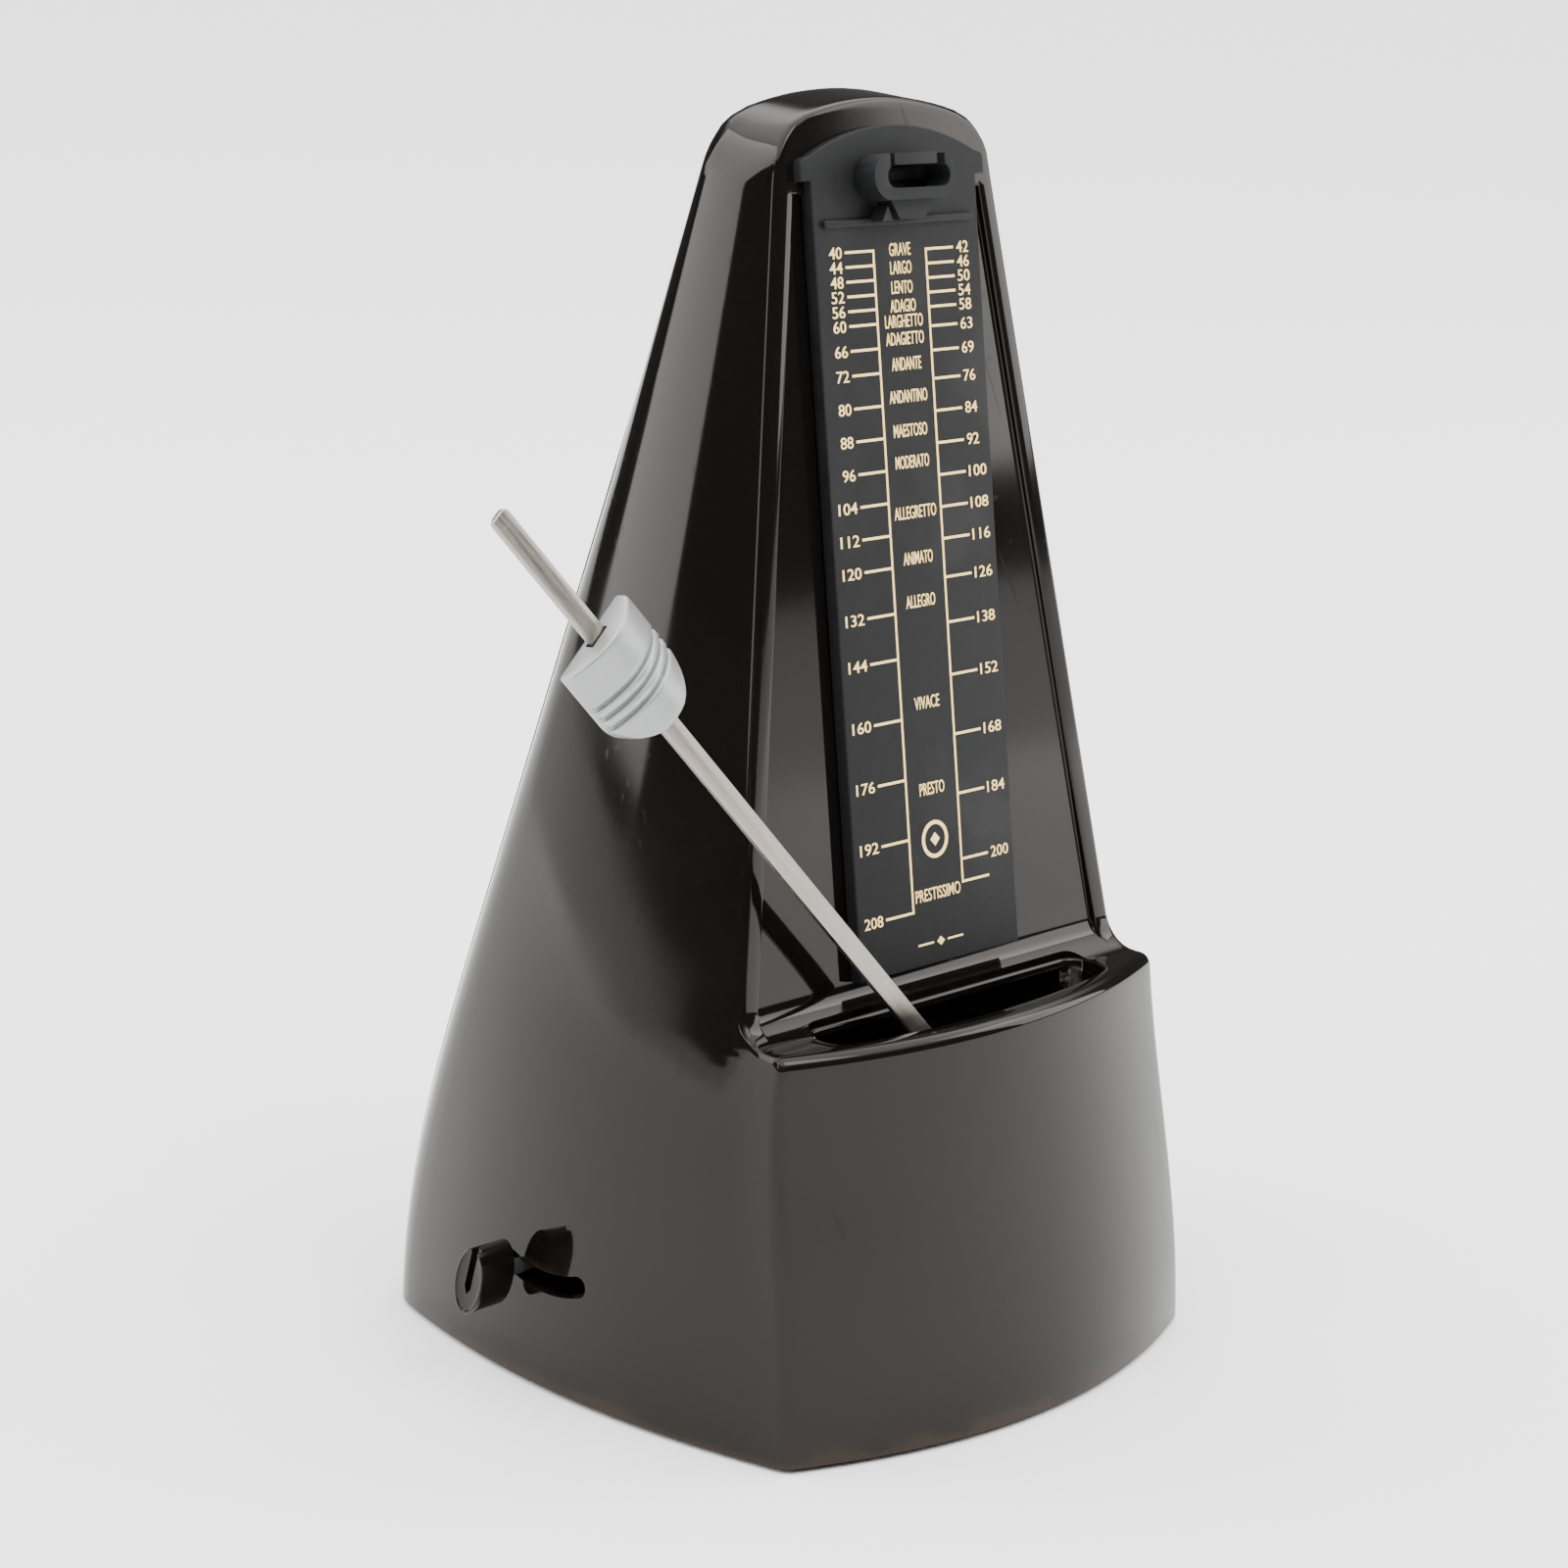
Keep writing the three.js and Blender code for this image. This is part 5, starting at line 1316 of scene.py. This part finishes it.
    def ornaments(self) -> bmesh.types.BMesh:
        """A plain ring above the lowest word and a plain lozenge between two rules below it."""
        face, top = -PLATE_FACE - 0.1, -PLATE_FACE + self.raised
        outer = arc((0, 0), 3.1, 0, 360, 48)[:-1]
        inner = arc((0, 0), 2.45, 0, 360, 48)[:-1]
        bm = carve(slab(outer, face, top), [slab(inner, face - 1, top + 1)])
        absorb(bm, slab([(-1.1, 0), (0, -1.1), (1.1, 0), (0, 1.1)], face, top))
        bm.transform(Matrix.Translation((0, self.up(193.0), 0)))
        low = self.up(215.5)
        absorb(bm, slab([(-0.9, 0), (0, -0.75), (0.9, 0), (0, 0.75)], face, top), Matrix.Translation((0, low, 0)))
        for sign in (-1, 1):
            ends = sorted((sign * 1.7, sign * 5.4))
            absorb(bm, self.bar(ends[0], ends[1], low - 0.16, low + 0.16))
        return bm

    def dress(self) -> None:
        """Makes the scale's pieces."""
        place = incline_matrix() @ FACING_FRONT
        for name, make in (("scale_lines", self.lines), ("scale_figures", self.figures), ("tempo_words", self.words),
                           ("scale_ornaments", self.ornaments)):
            finish_piece(make(), Piece(name, "case", "brass", GOLD_PRINT), place)


# ---------------------------------------------------------------- pendulum
@dataclass
class PendulumRod:
    """The flat rod that swings in front of the scale, in its own upright axes."""

    wide: float = 3.5
    thick: float = 1.0
    tip: float = 139.0
    tail: float = -27.0
    hub: float = 3.0

    def build(self) -> bmesh.types.BMesh:
        """The blade with a rounded tip, and its hub."""
        half = self.wide / 2
        right = [(half, self.tail), *bend((half, self.tip - 1.2), (half, self.tip), (half - 1.2, self.tip), 6)]
        bm = slab([*right, *((-x, z) for x, z in reversed(right))], -self.thick / 2, self.thick / 2)
        soften(bm, bm.edges[:], 0.16)
        absorb(bm, slab(arc((0, 0), self.hub, 0, 360, 36)[:-1], -1.6, 1.6))
        return bm

    def dress(self) -> None:
        """Makes the rod's piece."""
        finish_piece(self.build(), Piece("steel_rod", "pendulum", "rod_steel", ROD_STEEL, ("pendulum_rod",)),
                     pendulum_matrix() @ FACING_FRONT)


@dataclass
class SlidingWeight:
    """The D-shaped weight on the rod, flat on top, round below, with three stepped grooves across its front."""

    low: float = 95.2
    long: float = 17.9
    half: float = 8.3
    round_up: float = 7.2
    back: float = 2.0
    front: float = 3.8
    edge: float = 1.4
    play_wide: float = 2.1
    play_thick: float = 0.85
    groove_wide: float = 0.9
    groove_deep: float = 0.62
    grooves: tuple[float, ...] = (10.3, 8.2, 6.1)

    def width_at(self, up: float) -> float:
        """Half width at a height above the lower end, which is round up to its shoulders."""
        if up >= self.round_up:
            return self.half
        t = math.sqrt(up / self.round_up)
        return self.half * t * (1.5 * (1 - t) ** 2 + 3 * t * (1 - t) + t * t)

    def depth_at(self, x: float) -> float:
        """How far the convex front stands out at x."""
        share = 1 - (x / self.half) ** 2
        return (self.edge - self.back + 1) + (self.front - (self.edge - self.back + 1)) * share

    def ring(self, up: float, shrink: float, sink: float) -> list[Vector]:
        """The plan outline at a height.

        Args:
            up: height above the lower end.
            shrink: how far the outline is drawn in all round, for rounded ends.
            sink: how far the front lies back, in a groove.
        """
        wide = self.width_at(up) - shrink
        soft = min(0.7, wide * 0.3)
        points = []
        steps = 28
        for i in range(steps + 1):
            x = lerp(-wide + soft * 0.35, wide - soft * 0.35, i / steps)
            points.append((x, self.depth_at(x) - shrink - sink))
        side_front = self.depth_at(wide) - shrink - sink
        rear = -self.back + shrink
        right = [(wide, side_front - soft), (wide, lerp(side_front, rear, 0.5)), (wide, rear + 0.4),
                 (wide - 0.12, rear + 0.12), (wide - 0.4, rear)]
        back = [(lerp(wide - 0.4, -wide + 0.4, i / 6), rear) for i in range(1, 6)]
        points += [*right, *back, *((-x, y) for x, y in reversed(right))]
        return [Vector((x, self.low + up, y)) for x, y in points]

    def levels(self) -> list[tuple[float, float, float]]:
        """Heights up the weight with each ring's shrink and sink."""
        levels = [(0.05, 0.55, 0.0), (0.12, 0.3, 0.0), (0.35, 0.08, 0.0), (0.8, 0.0, 0.0)]
        levels += [(0.8 + 0.45 * i, 0.0, 0.0) for i in range(1, 11)]
        crisp = 0.1
        for up in sorted(self.grooves):
            levels += [(up - crisp, 0.0, 0.0), (up, 0.0, crisp), (up + crisp * 0.5, 0.0, self.groove_deep)]
            levels += [(up + self.groove_wide * s, 0.0, self.groove_deep * (1 - s * 0.35)) for s in (0.35, 0.8)]
            levels += [(up + self.groove_wide, 0.0, crisp * 0.8), (up + self.groove_wide + crisp, 0.0, 0.0)]
        start = max(self.grooves) + self.groove_wide + crisp
        end = self.long - 0.6
        levels += [(lerp(start, end, i / 8), 0.0, 0.0) for i in range(1, 9)]
        levels += [(self.long - 0.25, 0.06, 0.0), (self.long - 0.07, 0.22, 0.0), (self.long, 0.5, 0.0)]
        return levels

    def build(self) -> bmesh.types.BMesh:
        """The casting with its slot for the rod."""
        bm = loft(self.ring(*level) for level in self.levels())
        slot = block(Vector((-self.play_wide, self.low - 2, -self.play_thick)),
                     Vector((self.play_wide, self.low + self.long + 2, self.play_thick)))
        return carve(bm, [slot])

    def dress(self) -> None:
        """Makes the weight's piece."""
        finish_piece(self.build(), Piece("silver_weight", "weight", "cast_silver", CAST_SILVER, ("sliding_weight",),
                                         crease=50.0), pendulum_matrix() @ FACING_FRONT)


# ---------------------------------------------------------------- side controls
@dataclass
class SelectorKnob:
    """The oval beat selector button on the left side, in the lever's own axes."""

    wide: float = 3.2
    tall: float = 6.1
    start: float = -59.0
    long: float = 7.0
    rim: float = 0.42
    pointer_half: float = 0.75
    pointer_deep: float = 1.0

    def oval(self, grow: float) -> list[Point]:
        """The button's outline, grown by a margin, as (y, z)."""
        turns = [2 * math.pi * i / 64 for i in range(64)]
        return [((self.wide + grow) * math.cos(a), -SELECTOR_REACH + (self.tall + grow) * math.sin(a)) for a in turns]

    def build(self) -> bmesh.types.BMesh:
        """The button with a thin raised rim and a pointer groove."""
        bm = slab(self.oval(0.0), -(self.long) + self.start, self.start)
        outer = min(bm.faces, key=lambda f: f.calc_center_median().z)
        bmesh.ops.inset_region(bm, faces=[outer], thickness=self.rim, use_even_offset=True)
        bmesh.ops.inset_region(bm, faces=[outer], thickness=0.12, use_even_offset=True)
        bmesh.ops.translate(bm, verts=outer.verts, vec=(0, 0, 0.22))
        ends = [e for e in bm.edges if len(e.link_faces) == 2 and e.calc_face_angle(0.0) > 0.6]
        soften(bm, ends, 0.16)
        half = self.pointer_half
        low = -SELECTOR_REACH
        pointer = slab([(-half, low + self.tall + 1), (-half, low - 1.2), (0, low - 2.6), (half, low - 1.2),
                        (half, low + self.tall + 1)], self.start - self.long - 1,
                       self.start - self.long + self.pointer_deep)
        bore = slab(arc((0, low), 1.6, 0, 360, 24)[:-1], self.start - 4.3, self.start + 1)
        return carve(bm, [pointer, bore])

    def dress(self) -> None:
        """Makes the button's piece."""
        turn = Matrix.Rotation(math.radians(SELECTOR_REST), 4, "X")
        place = Matrix.Translation((0, *SELECTOR_PIVOT)) @ turn @ FACING_SIDE
        finish_piece(self.build(), Piece("beat_button", "selector", "knob_black", KNOB_BLACK, ("selector_knob",)),
                     place)


@dataclass
class WindingKey:
    """The nickel key on the right side: a round shank and a flat two-lobed grip."""

    start: float = 56.5
    shank: float = 4.2
    bore: float = 2.7
    grip_half: float = 12.0
    thick: float = 3.4

    def grip(self) -> bmesh.types.BMesh:
        """The flat grip, drawn in y and x."""
        s = self.start + 7
        w = self.grip_half
        left = bezier((-3.4, s), (-5, s + 4), (-w, s - 1), (-w, s + 7), 14)
        left += bezier((-w, s + 7), (-w, s + 15), (-3, s + 14), (0, s + 11.5), 14)[1:-1]
        points = [*left, (0, s + 11.5), *((-y, x) for y, x in reversed(left))]
        bm = slab([(x, y) for y, x in points], -self.thick / 2, self.thick / 2)
        edges = [e for e in bm.edges if abs(e.verts[0].co.z - e.verts[1].co.z) < 1e-4]
        soften(bm, edges, 0.8, 4)
        return bm

    def build(self) -> bmesh.types.BMesh:
        """The shank with its collar, and the grip."""
        r, b, s = self.shank, self.bore, self.start
        bm = turned([(0, s + 6.6), (b, s + 6.6), (b, s), (r - 0.5, s), (r, s + 0.5), (r, s + 1.4), (r - 0.5, s + 1.9),
                     (r - 0.5, s + 7.5), (r - 1.4, s + 9.2), (0, s + 9.2)], 40)
        bm.transform(Matrix.Rotation(math.pi / 2, 4, "Y"))
        absorb(bm, self.grip())
        return bm

    def dress(self) -> None:
        """Makes the key's piece."""
        finish_piece(self.build(), Piece("nickel_key", "key", "nickel", NICKEL, ("winding_key",)),
                     Matrix.Translation((0, *KEY_AXLE)))


# ---------------------------------------------------------------- pieces kept from the frame
@dataclass(frozen=True)
class KeptParts:
    """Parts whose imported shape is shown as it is, with a finish on it. A later row may dress a part again."""

    finish: Finish
    starts: tuple[str, ...]

    def dress(self, nodes: dict[str, bpy.types.Object]) -> None:
        """Puts the finish on each node whose name starts with one of the given words.

        Args:
            nodes: the frame's nodes by name.
        """
        for name, node in nodes.items():
            if name.startswith(self.starts):
                node.data.materials.clear()
                node.data.materials.append(self.finish.material())
                LOG.info("%s: %s", name, self.finish.name)


KEPT = (
    KeptParts(NICKEL, ("bell",)),
    KeptParts(BASE_BLACK, ("base_plate", "selector_lever")),
    KeptParts(RUBBER, ("foot_",)),
    KeptParts(TURNED_STEEL, ("base_screw_", "barrel_arbor", "ratchet_wheel", "click", "third_arbor", "third_pinion",
                             "escape_arbor", "escape_pinion", "pallet", "selector_stud", "bell_post", "bell_hammer",
                             "hammer_stud")),
    KeptParts(BRASS, ("movement_plate_", "pillar_", "front_bridge", "rear_bridge", "great_wheel", "spring_barrel",
                      "barrel_lid", "third_wheel", "beat_cam", "escape_wheel", "lower_bob")),
    KeptParts(SPRING_STEEL, ("mainspring", "click_spring")),
)


# ---------------------------------------------------------------- studio
@dataclass(frozen=True)
class Softbox:
    """A soft area light."""

    name: str
    place: tuple[float, float, float]
    aim: tuple[float, float, float]
    size: Point
    power: float

    def hang(self) -> None:
        """Puts the light in the scene."""
        light = bpy.data.lights.new(self.name, "AREA")
        light.shape = "RECTANGLE"
        light.size, light.size_y = self.size
        light.energy = self.power
        thing = bpy.data.objects.new(self.name, light)
        bpy.context.scene.collection.objects.link(thing)
        way = Vector(self.aim) - Vector(self.place)
        thing.matrix_world = Matrix.Translation(self.place) @ way.to_track_quat("-Z", "Y").to_matrix().to_4x4()


@dataclass
class Studio:
    """A pale floor, soft lights and the camera."""

    azimuth: float = -45.720
    elevation: float = 14.189
    roll: float = 2.0
    place: tuple[float, float, float] = (-0.419808, -0.404553, 0.241592)
    lens: float = 81.976
    ceiling: Point = (0.45, 0.75)
    wall_light: float = 0.12
    ceiling_light: float = 4.4

    LIGHTS = (
        Softbox("Rear softbox", (-1.2, 1.38, 0.85), (0, 0, 0.2), (0.95, 1.5), 26.0),
        Softbox("Left softbox", (-1.7, 0.1, 0.9), (0, 0, 0.1), (0.3, 1.3), 8.0),
        Softbox("Front softbox", (1.6, -0.95, 0.9), (0, 0, 0.1), (0.9, 1.5), 26.0),
        Softbox("Key light", (0.2, -1.5, 1.9), (0, 0, 0.1), (1.0, 1.0), 22.0),
    )

    def camera(self) -> None:
        """Stands the camera at the chosen view."""
        a, e = math.radians(self.azimuth), math.radians(self.elevation)
        back = Vector((math.sin(a) * math.cos(e), -math.cos(a) * math.cos(e), math.sin(e)))
        right = (-back).cross(Vector((0, 0, 1))).normalized()
        up = right.cross(-back)
        c, s = math.cos(math.radians(self.roll)), math.sin(math.radians(self.roll))
        turn = Matrix((c * right + s * up, -s * right + c * up, back)).transposed()
        data = bpy.data.cameras.new("Camera")
        data.lens = self.lens
        data.sensor_width = 36.0
        data.clip_start = 0.01
        thing = bpy.data.objects.new("Camera", data)
        thing.matrix_world = Matrix.Translation(self.place) @ turn.to_4x4()
        bpy.context.scene.collection.objects.link(thing)
        bpy.context.scene.camera = thing

    def floor(self) -> None:
        """Lays the pale floor."""
        bm = bmesh.new()
        bmesh.ops.create_grid(bm, x_segments=1, y_segments=1, size=60.0)
        thing = quick_object("floor", bm)
        material = bpy.data.materials.new("Pale floor")
        material.use_nodes = True
        shader = material.node_tree.nodes["Principled BSDF"]
        shader.inputs["Base Color"].default_value = (0.93, 0.93, 0.93, 1)
        shader.inputs["Roughness"].default_value = 0.9
        thing.data.materials.append(material)

    def surroundings(self) -> None:
        """A bright ceiling over a dim room, so that upright faces stay dark and level ones are well lit."""
        world = bpy.data.worlds.new("Room")
        world.use_nodes = True
        sheet = NodeSheet(world.node_tree)
        height = sheet.add("ShaderNodeSeparateXYZ")
        sheet.link(sheet.add("ShaderNodeTexCoord").outputs["Object"], height.inputs[0])
        ceiling = sheet.remap(height.outputs["Z"], self.ceiling, (self.wall_light, self.ceiling_light))
        background = world.node_tree.nodes["Background"]
        background.inputs["Color"].default_value = (1.0, 1.0, 1.0, 1)
        sheet.link(ceiling, background.inputs["Strength"])
        bpy.context.scene.world = world

    def build(self) -> None:
        """Sets the whole studio up."""
        self.camera()
        self.floor()
        self.surroundings()
        for light in self.LIGHTS:
            light.hang()


def main() -> None:
    """Builds the studio and every piece of the metronome."""
    logging.basicConfig(level=logging.INFO, format="%(name)s %(message)s")
    Studio().build()
    for part in (Case(), ScalePlate(), Scale(), PendulumRod(), SlidingWeight(), SelectorKnob(), WindingKey()):
        part.dress()
    for kept in KEPT:
        kept.dress(frame["nodes"])


if __name__ == "__main__":
    main()
